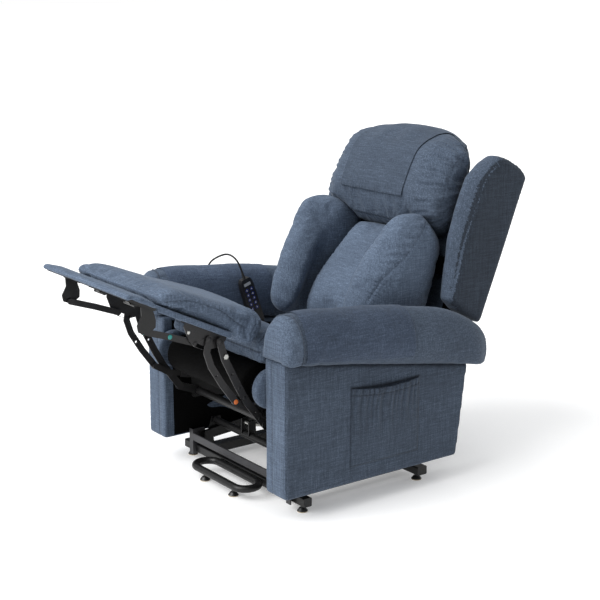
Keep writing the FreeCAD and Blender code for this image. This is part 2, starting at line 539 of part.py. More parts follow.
put("back_rear_panel", prism([bk(-150, 3), bk(-150, 12), bk(434, 12), bk(434, 3)], -272, 272))
wing_pts = [(647, 591), (700, 548), (789, 494), (977, 953), (952, 985), (905, 1012), (863, 1024), (808, 1004), (754, 968), (708, 870), (672, 782), (655, 690)]
def wing():
    w = prism(wing_pts, 276.5, 359)
    es = []
    for e in w.Edges:
        a, b = e.Vertexes[0].Point, e.Vertexes[-1].Point
        if abs(a.x - b.x) < 1e-6:
            es.append(e)
    for r in (20, 14, 8):
        try:
            t = w.makeFillet(r, es)
            if t.isValid():
                return t
        except Exception:
            pass
    print("  wing fillet skipped")
    return w
wg = wing()
put("back_wings", both(wg))
head_prof = [bk(238, 248), bk(256, 268), bk(320, 276), bk(400, 262), bk(470, 238), bk(530, 205), bk(566, 160), bk(580, 105), bk(576, 55), bk(556, 18), bk(520, 6), bk(470, 8), bk(444, 20), bk(436, 52), bk(380, 52), bk(300, 52), bk(250, 54), bk(234, 80), bk(230, 160)]
put("head_cushion", pillow(head_prof, -275, 275, 58, steps=4, flatten=0.62))
hc_front = [(312, 276.5), (345, 275), (400, 263), (470, 239), (530, 206), (566, 161), (580.5, 105), (576.5, 55), (557, 16.5), (520, 4.5), (475, 6)]
def off_pts(pts, d):
    out = []
    n = len(pts)
    for i, p in enumerate(pts):
        a = pts[max(0, i - 1)]
        b = pts[min(n - 1, i + 1)]
        tx, ty = b[0] - a[0], b[1] - a[1]
        L = hypot(tx, ty)
        out.append((p[0] + ty / L * d * -1 * -1, p[1] - tx / L * d * -1 * -1))
    return out
ha = off_pts(hc_front, -1.2)
hb = off_pts(hc_front, -3.8)
def cover(sgn):
    a = [V(-157, *bk(*p)) for p in ha]
    b = [V(-157, *bk(*p)) for p in hb]
    w = Part.Wire([spline(a), Part.LineSegment(a[-1], b[-1]).toShape(), spline(list(reversed(b))), Part.LineSegment(b[0], a[0]).toShape()])
    return Part.Face(w).extrude(V(314, 0, 0))
put("head_cover", cover(1))
# centre back cushion: wider at the bottom
def cushion_u(levels, conv):
    wires = []
    for u, pts in levels:
        P = [V(x, *bk(u, v)) for x, v in pts]
        wires.append(Part.Wire([spline(P, True)]))
    return loft(wires)
def back_levels():
    out = []
    for u, hw, v0, v1 in ((-150, 140, 134, 240), (-144, 158, 104, 276), (-130, 170, 80, 304), (-100, 176, 66, 316), (-60, 177, 60, 317), (-10, 174, 60, 312), (40, 164, 60, 300), (90, 152, 60, 287), (140, 140, 60, 272), (180, 130, 62, 258), (202, 124, 72, 244), (212, 114, 90, 222), (216, 98, 120, 196)):
        m = (v0 + v1) / 2.0
        out.append((u, [(0, v0), (hw * .7, v0), (hw * .97, v0 + (v1 - v0) * .15), (hw, m), (hw * .96, v1 - (v1 - v0) * .16), (hw * .62, v1 - 3), (0, v1), (-hw * .62, v1 - 3), (-hw * .96, v1 - (v1 - v0) * .16), (-hw, m), (-hw * .97, v0 + (v1 - v0) * .15), (-hw * .7, v0)]))
    return out
put("back_cushion", cushion_u(back_levels(), None))
def pil_levels():
    out = []
    tab = [(-168, 186, 258, 150, 352, .42), (-161, 184, 261, 134, 372, .70), (-146, 184, 264, 120, 388, .88), (-118, 184, 267, 106, 402, .98), (-60, 181, 270, 94, 412, 1.0), (15, 176, 272, 84, 416, 1.0), (70, 166, 273, 80, 414, 1.0), (125, 154, 273, 80, 408, 1.0), (165, 147, 273, 92, 399, 1.0), (188, 143, 273, 112, 391, .99), (203, 141, 273, 138, 385, .97), (213, 140, 272, 172, 380, .95), (222, 140, 271, 232, 374, .91), (231, 141, 269, 284, 368, .85), (241, 142, 267, 290, 360, .77), (251, 144, 264, 296, 350, .62), (259, 148, 260, 304, 338, .42)]
    n = 16
    for u, xi, xo, vb, vf, k in tab:
        xi = xi + 7
        xm, hx = (xi + xo) / 2.0, (xo - xi) / 2.0 * (0.35 + 0.65 * k)
        vc, hv = (vb + vf) / 2.0, (vf - vb) / 2.0 * (0.45 + 0.55 * k)
        sec = []
        for i in range(n):
            a = 2 * pi * i / n
            ca, sa = cos(a), sin(a)
            e = 0.80 if sa > 0 else 0.62
            x = hx * (abs(ca) ** e) * (1 if ca >= 0 else -1)
            v = hv * (abs(sa) ** (0.92 if sa > 0 else 0.78)) * (1 if sa >= 0 else -1)
            sec.append((xm + x, vc + v + 0.30 * x * max(0.0, v / hv)))
        out.append((u, sec))
    return out
pil = cushion_u(pil_levels(), None)
put("side_pillows", both(pil))
# recline actuator on the chassis
mb, mr = actuator(M_REC, N_REC, 70.0, hypot(N_REC[0] - M_REC[0], N_REC[1] - M_REC[1]), 140.0)
put("recline_motor_housing", mb)
put("recline_motor_rod", mr)
print(len(NODES), "nodes")
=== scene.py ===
import bpy, bmesh
import numpy as np
from math import sin, cos, pi, radians, sqrt, hypot, exp
from mathutils import Vector, Matrix
from mathutils.bvhtree import BVHTree
from mathutils.kdtree import KDTree


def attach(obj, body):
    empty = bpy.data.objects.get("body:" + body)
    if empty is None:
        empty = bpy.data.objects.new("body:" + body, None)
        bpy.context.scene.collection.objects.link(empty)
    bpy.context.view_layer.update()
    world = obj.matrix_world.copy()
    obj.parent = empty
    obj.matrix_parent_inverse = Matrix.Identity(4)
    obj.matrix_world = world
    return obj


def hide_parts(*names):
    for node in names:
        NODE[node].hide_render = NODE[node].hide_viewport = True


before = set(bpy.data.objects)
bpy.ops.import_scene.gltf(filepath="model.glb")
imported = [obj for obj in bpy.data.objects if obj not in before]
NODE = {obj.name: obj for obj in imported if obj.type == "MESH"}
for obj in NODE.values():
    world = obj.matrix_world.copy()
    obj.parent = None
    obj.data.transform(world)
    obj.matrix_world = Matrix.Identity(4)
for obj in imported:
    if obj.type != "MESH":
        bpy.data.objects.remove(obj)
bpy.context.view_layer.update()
YS = -0.28146                      # construction Y (front plane of the arms = 0) to the row frame
SCENE = bpy.context.scene

def P(x, y, z):
    """construction millimetres to row metres"""
    return Vector((x / 1000.0, y / 1000.0 + YS, z / 1000.0))

BK_D = (sin(radians(22.2)), cos(radians(22.2)))
BK_N = (-BK_D[1], BK_D[0])
LEG_D = (cos(radians(-25.5)), sin(radians(-25.5)))
LEG_U = (-LEG_D[1], LEG_D[0])

def bk(u, v):
    return (787.6 + u * BK_D[0] + v * BK_N[0], 494.0 + u * BK_D[1] + v * BK_N[1])

def lg(s, h):
    return (-122.0 + s * LEG_D[0] + h * LEG_U[0], 576.0 + s * LEG_D[1] + h * LEG_U[1])

def PB(x, u, v):
    return P(x, *bk(u, v))

def PL(x, s, h):
    return P(x, *lg(s, h))

# ------------------------------------------------------------------ camera
cam = bpy.data.cameras.new("camera")
cam.lens, cam.sensor_width = 81.42, 36.0
cam.clip_end = 200.0
cam_o = bpy.data.objects.new("camera", cam)
cam_o.location = (3.410, -2.4425, 1.588)
cam_o.rotation_euler = Vector((-0.784, 0.575, -0.235)).to_track_quat("-Z", "Y").to_euler()
SCENE.collection.objects.link(cam_o)
SCENE.camera = cam_o

# ------------------------------------------------------------------ small tools
def link(o):
    SCENE.collection.objects.link(o)
    return o

def new_obj(name, verts, faces, mats, smooth=True):
    me = bpy.data.meshes.new(name)
    me.from_pydata([tuple(v) for v in verts], [], faces)
    me.validate()
    me.polygons.foreach_set("use_smooth", [smooth] * len(me.polygons))
    for m in (mats if isinstance(mats, (list, tuple)) else [mats]):
        me.materials.append(m)
    me.update()
    return link(bpy.data.objects.new(name, me))

def coords(o):
    n = len(o.data.vertices)
    a = np.empty(n * 3)
    o.data.vertices.foreach_get("co", a)
    return a.reshape(n, 3)

def normals(o):
    n = len(o.data.vertices)
    a = np.empty(n * 3)
    o.data.vertices.foreach_get("normal", a)
    return a.reshape(n, 3)

def set_coords(o, a):
    o.data.vertices.foreach_set("co", np.asarray(a, float).ravel())
    o.data.update()

def applied(o):
    """apply the object's modifiers"""
    dg = bpy.context.evaluated_depsgraph_get()
    dg.update()
    me = bpy.data.meshes.new_from_object(o.evaluated_get(dg), depsgraph=dg)
    mats = list(o.data.materials)
    o.modifiers.clear()
    o.data = me
    me.materials.clear()
    for m in mats:
        me.materials.append(m)
    me.polygons.foreach_set("use_smooth", [True] * len(me.polygons))
    return o

def mod(o, kind, **k):
    m = o.modifiers.new(kind.lower(), kind)
    for a, b in k.items():
        setattr(m, a, b)
    return applied(o)

def from_node(name, node, mat, side=0):
    """a copy of a CAD node's mesh; side 1 keeps only +X, -1 only -X"""
    src = NODE[node]
    bm = bmesh.new()
    bm.from_mesh(src.data)
    bmesh.ops.transform(bm, matrix=src.matrix_world, verts=bm.verts)
    bmesh.ops.remove_doubles(bm, verts=bm.verts, dist=2e-5)
    if side:
        bmesh.ops.delete(bm, geom=[v for v in bm.verts if v.co.x * side < 0], context="VERTS")
    bmesh.ops.recalc_face_normals(bm, faces=bm.faces)
    me = bpy.data.meshes.new(name)
    bm.to_mesh(me)
    bm.free()
    me.materials.clear()
    me.materials.append(mat)
    return link(bpy.data.objects.new(name, me))

def mirrored(o, name):
    me = o.data.copy()
    me.name = name
    a = np.empty(len(me.vertices) * 3)
    me.vertices.foreach_get("co", a)
    a = a.reshape(-1, 3)
    a[:, 0] *= -1
    me.vertices.foreach_set("co", a.ravel())
    me.flip_normals()
    me.update()
    return link(bpy.data.objects.new(name, me))

def noise(co, scale, seed=0):
    """smooth value noise, -1 to 1"""
    p = co * scale + 37.13 * (seed + 1)
    i = np.floor(p).astype(np.int64)
    f = p - i
    f = f * f * (3 - 2 * f)
    def h(ix, iy, iz):
        n = ix * 374761393 + iy * 668265263 + iz * 2147483647 + seed * 974634777
        n = (n ^ (n >> 13)) * 1274126177
        n = n & 0x7fffffff
        return ((n ^ (n >> 16)) & 0xffff) / 32767.5 - 1.0
    r = 0.0
    for dx in (0, 1):
        wx = f[:, 0] if dx else 1 - f[:, 0]
        for dy in (0, 1):
            wy = f[:, 1] if dy else 1 - f[:, 1]
            for dz in (0, 1):
                wz = f[:, 2] if dz else 1 - f[:, 2]
                r = r + wx * wy * wz * h(i[:, 0] + dx, i[:, 1] + dy, i[:, 2] + dz)
    return r

def dense(pts, step=0.003, closed=False):
    pts = [Vector(p) for p in pts]
    if closed:
        pts = pts + [pts[0]]
    out = []
    for a, b in zip(pts[:-1], pts[1:]):
        n = max(1, int((b - a).length / step))
        out += [a.lerp(b, i / n) for i in range(n)]
    out.append(pts[-1])
    return out

def smooth_line(pts, closed=False, n=8):
    """Catmull-Rom through the points"""
    pts = [Vector(p) for p in pts]
    m = len(pts)
    out = []
    rng = range(m if closed else m - 1)
    for i in rng:
        p1, p2 = pts[i], pts[(i + 1) % m]
        p0 = pts[i - 1] if (closed or i > 0) else p1
        p3 = pts[(i + 2) % m] if (closed or i + 2 < m) else p2
        for k in range(n):
            t = k / n
            out.append(0.5 * ((2 * p1) + (p2 - p0) * t + (2 * p0 - 5 * p1 + 4 * p2 - p3) * t * t + (3 * p1 - p0 - 3 * p2 + p3) * t ** 3))
    if not closed:
        out.append(pts[-1])
    return out

def snap(o, pts):
    bvh = BVHTree.FromPolygons([v.co for v in o.data.vertices], [p.vertices for p in o.data.polygons])
    out = []
    for p in pts:
        q = bvh.find_nearest(p)
        out.append((q[0], q[1]))
    return out

def line_dist(co, pts, reach):
    """distance of each vertex to a dense line, and how far along it the nearest point is"""
    L = np.array([tuple(p) for p in pts])
    lo, hi = L.min(0) - reach, L.max(0) + reach
    near = np.all((co > lo) & (co < hi), axis=1)
    d = np.full(len(co), 9.0)
    t = np.zeros(len(co))
    kd = KDTree(len(L))
    for i, p in enumerate(L):
        kd.insert(p, i)
    kd.balance()
    seg = np.concatenate([[0.0], np.cumsum(np.linalg.norm(np.diff(L, axis=0), axis=1))])
    for i in np.nonzero(near)[0]:
        q = kd.find(co[i])
        d[i] = q[2]
        t[i] = seg[q[1]]
    return d, t

# per-vertex darkening read by the fabric: dark stitch lines, and painted shade in bands and fold valleys
def seam_and_shade_attr(o):
    a = o.data.attributes.get("seam_and_painted_shade")
    if a is None:
        a = o.data.attributes.new("seam_and_painted_shade", "FLOAT", "POINT")
    return a

def seam_and_painted_shade(o, pts, depth=0.004, width=0.009, line=0.0022, pucker=0.0015, pitch=0.016, reach=0.03, dark=1.0, closed=False, snapped=True):
    """stitched line: a groove, a dark stitch line and small gathers beside it; given no groove and no gathers it paints
    only a dark band, which is painted shade
    """
    pts = dense(pts, 0.003, closed)
    if snapped:
        pts = [q[0] for q in snap(o, pts)]
    co, no = coords(o), normals(o)
    d, t = line_dist(co, pts, reach * 1.6)
    m = d < reach * 1.6
    g = np.where(m, np.exp(-(d / width) ** 2), 0.0)
    ripple = np.where(m, np.exp(-((d - reach * 0.35) / (reach * 0.6)) ** 2), 0.0) * (0.6 * np.sin(t * 2 * pi / pitch + 2.1 * np.sin(t * 37.0)) + 0.4 * np.sin(t * 2 * pi / (pitch * 0.62) + 1.0))
    co = co + no * (-depth * g + pucker * ripple)[:, None]
    set_coords(o, co)
    a = seam_and_shade_attr(o)
    v = np.empty(len(co))
    a.data.foreach_get("value", v)
    v = np.maximum(v, np.where(m, dark * np.exp(-(d / line) ** 2), 0.0))
    a.data.foreach_set("value", v)
    return pts

def tube(name, pts, r, mat, body, closed=False, seg=8, sides=None):
    """a thin tube on a line, as a welt or piping"""
    pts = [Vector(p) for p in pts]
    n = len(pts)
    verts, faces = [], []
    up = Vector((0.13, 0.29, 0.95))
    for i in range(n):
        a = pts[i - 1] if (closed or i) else pts[i]
        b = pts[(i + 1) % n] if (closed or i < n - 1) else pts[i]
        t = (b - a).normalized()
        s = t.cross(up)
        if s.length < 1e-3:
            s = t.cross(Vector((1, 0, 0)))
        s.normalize()
        w = s.cross(t)
        for k in range(seg):
            an = 2 * pi * k / seg
            verts.append(pts[i] + s * (r * cos(an)) + w * (r * sin(an)))
    m = n if closed else n - 1
    for i in range(m):
        for k in range(seg):
            a, b = i * seg + k, i * seg + (k + 1) % seg
            c, d = ((i + 1) % n) * seg + (k + 1) % seg, ((i + 1) % n) * seg + k
            faces.append((a, b, c, d))
    if not closed:
        faces.append(tuple(reversed(range(seg))))
        faces.append(tuple(range((n - 1) * seg, n * seg)))
    o = new_obj(name, verts, faces, mat)
    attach(o, body)
    return o

def shade_copy_faces(o, mat, pick):
    """gives the faces that pick(centre mm, normal) marks the material mat, a lighter or darker copy of the fabric:
    painted light and shade by which way the face looks
    """
    n = len(o.data.polygons)
    c, nn = np.empty(n * 3), np.empty(n * 3)
    o.data.polygons.foreach_get("center", c)
    o.data.polygons.foreach_get("normal", nn)
    c = c.reshape(-1, 3) * 1000.0
    c[:, 1] -= YS * 1000.0
    o.data.materials.append(mat)
    o.data.polygons.foreach_set("material_index", np.where(pick(c, nn.reshape(-1, 3)), len(o.data.materials) - 1, 0).astype(np.int32))

def relax(o, n=6, f=0.5):
    m = o.modifiers.new("s", "SMOOTH")
    m.factor, m.iterations = f, n
    return applied(o)

def soft(o, voxel=0.006, shrink=0.006, pressure=4.0, cap=0.012, frames=16, pins=(), pin_r=0.008, grow=-0.03, sub=1, smooth=4):
    """padded piece: even mesh, filled by a short cloth run held at its seams"""
    o = mod(o, "REMESH", mode="VOXEL", voxel_size=voxel)
    o = relax(o, smooth)
    co, no = coords(o), normals(o)
    pinned = np.zeros(len(co))
    for line in pins:
        pts = [q[0] for q in snap(o, dense(line, 0.004))]
        d, _ = line_dist(co, pts, pin_r * 2)
        pinned = np.maximum(pinned, np.clip(1.6 - d / pin_r, 0, 1))
    set_coords(o, co - no * shrink)
    start = coords(o)
    if len(pins):
        vg = o.vertex_groups.new(name="pin")
        for i in np.nonzero(pinned > 0.02)[0]:
            vg.add([int(i)], float(pinned[i]), "REPLACE")
    m = o.modifiers.new("cloth", "CLOTH")
    s = m.settings
    s.quality = 4
    s.mass = 0.25
    s.tension_stiffness = s.compression_stiffness = 12
    s.shear_stiffness = 4
    s.bending_stiffness = 0.6
    s.use_pressure = True
    s.uniform_pressure_force = pressure
    s.effector_weights.gravity = 0.0
    s.shrink_min = grow
    if len(pins):
        s.vertex_group_mass = "pin"
        s.pin_stiffness = 1.0
    m.point_cache.frame_start, m.point_cache.frame_end = 1, frames
    for f in range(1, frames + 1):
        SCENE.frame_set(f)
    o = applied(o)
    SCENE.frame_set(1)
    end = coords(o)
    d = end - start
    L = np.linalg.norm(d, axis=1)
    k = np.where(L > 1e-9, cap * np.tanh(L / cap) / np.maximum(L, 1e-9), 0.0)
    set_coords(o, start + d * k[:, None])
    o = relax(o, 2, 0.4)
    if sub:
        m = o.modifiers.new("sub", "SUBSURF")
        m.levels = m.render_levels = sub
        o = applied(o)
    return o

def creases(o, amp, scale, seed=0, mask=None, stretch=(1, 1, 1)):
    co, no = coords(o), normals(o)
    q = co * np.array(stretch)
    n = noise(q, scale, seed)
    r = 1 - np.abs(noise(q, scale * 1.7, seed + 5)) * 2
    h = amp * (0.6 * n + 0.4 * np.clip(r, 0, 1))
    if mask is not None:
        h = h * mask(co)
    set_coords(o, co + no * h[:, None])

def bump_rows(o, fn):
    """moves each vertex along its normal by fn(coords in construction mm, normals), in mm"""
    co, no = coords(o), normals(o)
    q = co * 1000.0
    q[:, 1] -= YS * 1000.0
    set_coords(o, co + no * (fn(q, no) / 1000.0)[:, None])

# ------------------------------------------------------------------ materials
def lin(r, g, b):
    f = lambda c: ((c / 255.0 + 0.055) / 1.055) ** 2.4 if c > 10 else c / 255.0 / 12.92
    return (f(r), f(g), f(b), 1.0)

class Mat:
    def __init__(self, name):
        self.m = bpy.data.materials.new(name)
        self.m.use_nodes = True
        self.nt = self.m.node_tree
        self.nt.nodes.clear()
        self.out = self.n("ShaderNodeOutputMaterial")
        self.b = self.n("ShaderNodeBsdfPrincipled")
        self.l(self.b.outputs[0], self.out.inputs[0])
        self.tc = self.n("ShaderNodeTexCoord")
    def n(self, t, **k):
        x = self.nt.nodes.new(t)
        for a, b in k.items():
            setattr(x, a, b)
        return x
    def l(self, a, b):
        self.nt.links.new(a, b)
    def mapping(self, scale, rot=(0, 0, 0), loc=(0, 0, 0)):
        m = self.n("ShaderNodeMapping")
        m.inputs["Scale"].default_value = scale
        m.inputs["Rotation"].default_value = rot
        m.inputs["Location"].default_value = loc
        self.l(self.tc.outputs["Object"], m.inputs[0])
        return m.outputs[0]
    def noise(self, vec, scale=1.0, detail=2.0, rough=0.5):
        t = self.n("ShaderNodeTexNoise")
        t.inputs["Scale"].default_value = scale
        t.inputs["Detail"].default_value = detail
        t.inputs["Roughness"].default_value = rough
        self.l(vec, t.inputs["Vector"])
        return t.outputs[0]
    def math(self, op, a, b=None, clamp=False):
        m = self.n("ShaderNodeMath", operation=op, use_clamp=clamp)
        for i, v in enumerate((a, b)):
            if v is None:
                continue
            if isinstance(v, (int, float)):
                m.inputs[i].default_value = v
            else:
                self.l(v, m.inputs[i])
        return m.outputs[0]
    def ramp(self, fac, stops):
        r = self.n("ShaderNodeValToRGB")
        e = r.color_ramp.elements
        e[0].position, e[0].color = stops[0]
        e[1].position, e[1].color = stops[-1]
        for p, c in stops[1:-1]:
            x = e.new(p)
            x.color = c
        self.l(fac, r.inputs[0])
        return r.outputs[0]
    def mix(self, fac, a, b, blend="MIX"):
        m = self.n("ShaderNodeMix", data_type="RGBA", blend_type=blend)
        for s, v in ((m.inputs[0], fac), (m.inputs[6], a), (m.inputs[7], b)):
            if isinstance(v, (int, float, tuple)):
                s.default_value = v
            else:
                self.l(v, s)
        return m.outputs[2]
    def bump(self, height, strength=0.4, dist=0.0005):
        b = self.n("ShaderNodeBump")
        b.inputs["Strength"].default_value = strength
        b.inputs["Distance"].default_value = dist
        self.l(height, b.inputs["Height"])
        self.l(b.outputs[0], self.b.inputs["Normal"])

def woven(name, c_dark, c_mid, c_light, rotx=0.0, gain=1.0, sheen=0.14, spec=0.25):
    """linen-look upholstery: uneven threads in two directions, with a sheen"""
    M = Mat(name)
    rot = (rotx, 0, 0)
    hi, lo = 330.0, 17.0
    tx = M.noise(M.mapping((lo, hi, hi), rot), 1.0, 3.0, 0.55)
    ty = M.noise(M.mapping((hi, lo, hi), rot, (3.1, 0, 0)), 1.0, 3.0, 0.55)
    tz = M.noise(M.mapping((hi, hi, lo), rot, (0, 5.7, 0)), 1.0, 3.0, 0.55)
    fx = M.noise(M.mapping((150, 1100, 1100), rot), 1.0, 1.0)
    fy = M.noise(M.mapping((1100, 150, 1100), rot), 1.0, 1.0)
    fz = M.noise(M.mapping((1100, 1100, 150), rot), 1.0, 1.0)
    geo = M.n("ShaderNodeTexCoord")
    big = M.noise(M.mapping((1, 1, 1), rot), 5.0, 3.0)
    s = M.math("ADD", M.math("ADD", tx, ty), tz)
    fine = M.math("ADD", M.math("ADD", fx, fy), fz)
    tot = M.math("ADD", M.math("MULTIPLY", s, 0.70 / 3 * gain), M.math("MULTIPLY", fine, 0.30 / 3 * gain))
    tot = M.math("ADD", tot, 0.5 - 0.5 * gain)
    tot = M.math("ADD", tot, M.math("MULTIPLY", M.math("SUBTRACT", big, 0.5), 0.10))
    col = M.ramp(tot, [(0.36, c_dark), (0.50, c_mid), (0.64, c_light)])
    # darkening attribute: dark stitch lines, plus painted shade in the bands and fold valleys where it is set
    at = M.n("ShaderNodeAttribute", attribute_name="seam_and_painted_shade")
    col = M.mix(M.math("MULTIPLY", at.outputs["Fac"], 0.80), col, (c_dark[0] * .25, c_dark[1] * .25, c_dark[2] * .25, 1.0))
    M.l(col, M.b.inputs["Base Color"])
    rg = M.math("ADD", M.math("MULTIPLY", fine, 0.06), 0.78)
    M.l(rg, M.b.inputs["Roughness"])
    M.b.inputs["Sheen Weight"].default_value = sheen
    M.b.inputs["Sheen Roughness"].default_value = 0.45
    M.b.inputs["Sheen Tint"].default_value = (0.62, 0.72, 0.85, 1.0)
    M.b.inputs["Specular IOR Level"].default_value = spec
    h = M.math("SUBTRACT", tot, M.math("MULTIPLY", at.outputs["Fac"], 0.8))
    M.bump(h, 0.55, 0.0012)
    return M.m

def plain(name, col, rough, metal=0.0, wear=None, grain=220.0, spec=0.5, coat=0.0, amp=0.16, bump=0.12):
    """painted steel, plastic or rubber with fine grain and worn patches"""
    M = Mat(name)
    v = M.mapping((1, 1, 1))
    g = M.noise(v, grain, 3.0, 0.6)
    b = M.noise(v, 14.0, 4.0, 0.6)
    d = tuple(c * (1 - amp) for c in col[:3]) + (1.0,)
    l = tuple(min(1.0, c * (1 + amp) + 0.004) for c in col[:3]) + (1.0,)
    base = M.ramp(M.math("ADD", M.math("MULTIPLY", g, 0.5), M.math("MULTIPLY", b, 0.5)), [(0.35, d), (0.65, l)])
    if wear is not None:
        w = M.math("MULTIPLY", M.math("SUBTRACT", M.noise(v, 48.0, 5.0, 0.75), 0.60), 6.0, True)
        base = M.mix(w, base, wear)
    M.l(base, M.b.inputs["Base Color"])
    M.l(M.math("ADD", M.math("MULTIPLY", b, 0.22), rough - 0.11), M.b.inputs["Roughness"])
    M.b.inputs["Metallic"].default_value = metal
    M.b.inputs["Specular IOR Level"].default_value = spec
    M.b.inputs["Coat Weight"].default_value = coat
    M.bump(g, bump, 0.0004)
    return M.m

BLUE_D, BLUE_M, BLUE_L = lin(58, 66, 78), lin(87, 98, 114), lin(125, 139, 158)
CAP_D, CAP_M, CAP_L = lin(48, 57, 70), lin(72, 83, 101), lin(106, 119, 140)
# shade(k, ...) scales one fabric's colours to a lighter or darker copy for one part: painted light and painted shade
# standing in for how light falls there; the three channel factors tilt the colour towards blue
def shade(k, *cols):
    return [(c[0] * k * 0.97, c[1] * k * 1.03, c[2] * k * 1.09, 1.0) for c in cols]
F_ARM = woven("fabric_blue", *shade(0.65, BLUE_D, BLUE_M, BLUE_L))
# painted shade: a darker copy for the arm roll
F_ROLL_SHADE = woven("fabric_blue_roll_painted_shade", *shade(0.45, BLUE_D, BLUE_M, BLUE_L))
# painted shade: a darker copy for the arm's outer side
F_SIDE_SHADE = woven("fabric_blue_side_painted_shade", *shade(0.45, BLUE_D, BLUE_M, BLUE_L))
# painted light: a lighter copy for the back cushion, pillows and rear cover, turned to the back's thread direction
F_BACK_LIT = woven("fabric_blue_back_painted_light", *shade(0.78, BLUE_D, BLUE_M, BLUE_L), radians(-22.2))
# painted shade: a darker copy for the head cushion, also used as the wings' lit front
F_HEAD_SHADE = woven("fabric_blue_head_painted_shade", *shade(0.54, BLUE_D, BLUE_M, BLUE_L), radians(-22.2))
# painted shade: a much darker copy for the wings
F_WING_SHADE = woven("fabric_blue_wing_painted_shade", *shade(0.21, BLUE_D, BLUE_M, BLUE_L), radians(-22.2))
# painted light: a lighter copy for the leg and foot rests
F_LEG_LIT = woven("fabric_blue_leg_painted_light", *shade(0.82, BLUE_D, BLUE_M, BLUE_L), radians(25.5))
F_CAP = woven("fabric_cap", *shade(0.55, CAP_D, CAP_M, CAP_L))
# painted light: a lighter copy of the cover fabric for the far arm cover
F_CAP_LIT = woven("fabric_cap_painted_light", *shade(0.80, CAP_D, CAP_M, CAP_L))
# painted shade: the head cover's own colour, darkened
F_COVER_SHADE = woven("fabric_cover_painted_shade", *shade(0.47, lin(55, 63, 75), lin(83, 94, 110), lin(120, 134, 153)), radians(-22.2))
F_WELT = woven("fabric_welt", lin(40, 46, 56), lin(58, 66, 78), lin(80, 90, 104))
F_BLACK = woven("lining_black", lin(2, 2, 2), lin(5, 5, 5), lin(11, 11, 12), 0.0, 1.0, 0.0, 0.06)
STEEL_K = plain("steel_black", lin(11, 11, 12), 0.45, 0.0, lin(24, 24, 25), spec=0.35, coat=0.08)
STEEL_L = plain("steel_link", lin(27, 26, 27), 0.50, 0.30, lin(50, 48, 47), coat=0.1)
STEEL_F = plain("steel_frame_grey", lin(52, 52, 55), 0.5, 0.2, lin(74, 73, 72))
STEEL_B = plain("steel_bright", lin(176, 176, 172), 0.26, 1.0, lin(120, 118, 112), amp=0.08)
PLAST_K = plain("plastic_black", lin(18, 18, 20), 0.38, 0.0, None, 900.0, amp=0.1, bump=0.25)
PLAST_G = plain("plastic_grey", lin(92, 94, 98), 0.5, 0.0, None, 700.0)
RUBBER = plain("rubber_black", lin(16, 16, 16), 0.62, 0.0, lin(34, 33, 32), 500.0)
KEY = plain("key_black", lin(26, 27, 31), 0.34, 0.0, None, 1200.0, amp=0.08)
KEY_BLUE = plain("key_blue", lin(52, 66, 176), 0.4, 0.0, None, 1500.0, amp=0.1)
KEY_MARK = plain("key_mark", lin(214, 218, 224), 0.5, 0.0, None, 1500.0, amp=0.03)
LABEL = plain("label_grey", lin(168, 172, 176), 0.45, 0.0, None, 1300.0, amp=0.05)
BUSH_O = plain("bush_orange", lin(190, 96, 34), 0.45, 0.0, lin(120, 66, 30), 600.0)
BUSH_T = plain("bush_teal", lin(40, 138, 132), 0.45, 0.0, lin(26, 84, 82), 600.0)
DISC = plain("glide_disc", lin(172, 160, 138), 0.42, 0.4, lin(110, 100, 86))

def wood_mat():
    M = Mat("wood")
    w = M.n("ShaderNodeTexWave", wave_type="BANDS", bands_direction="X")
    w.inputs["Scale"].default_value = 26.0
    w.inputs["Distortion"].default_value = 5.0
    w.inputs["Detail"].default_value = 3.0
    M.l(M.mapping((1.0, 0.35, 0.35)), w.inputs[0])
    f = M.noise(M.mapping((400, 24, 24)), 1.0, 3.0)
    t = M.math("ADD", M.math("MULTIPLY", w.outputs["Fac"], 0.6), M.math("MULTIPLY", f, 0.4))
    M.l(M.ramp(t, [(0.2, lin(150, 112, 68)), (0.8, lin(203, 168, 118))]), M.b.inputs["Base Color"])
    M.l(M.math("ADD", M.math("MULTIPLY", f, 0.2), 0.5), M.b.inputs["Roughness"])
    M.bump(t, 0.2, 0.0004)
    return M.m
WOOD = wood_mat()

# glide: light disc at the bottom, black dome above, told apart by height
def glide_mat():
    M = Mat("glide")
    s = M.n("ShaderNodeSeparateXYZ")
    M.l(M.tc.outputs["Object"], s.inputs[0])
    k = M.math("GREATER_THAN", s.outputs[2], 0.0031)
    g = M.noise(M.mapping((1, 1, 1)), 600.0, 3.0)
    a = M.ramp(g, [(0.3, lin(150, 138, 116)), (0.7, lin(190, 178, 155))])
    b = M.ramp(g, [(0.3, lin(16, 16, 17)), (0.7, lin(30, 30, 31))])
    M.l(M.mix(k, a, b), M.b.inputs["Base Color"])
    M.l(M.math("ADD", M.math("MULTIPLY", g, 0.2), 0.28), M.b.inputs["Roughness"])
    M.bump(g, 0.1, 0.0003)
    return M.m
GLIDE = glide_mat()

def paint(node, mat):
    o = NODE[node]
    if len(o.material_slots) == 0:
        o.data.materials.append(mat)
    for s in o.material_slots:
        s.material = mat

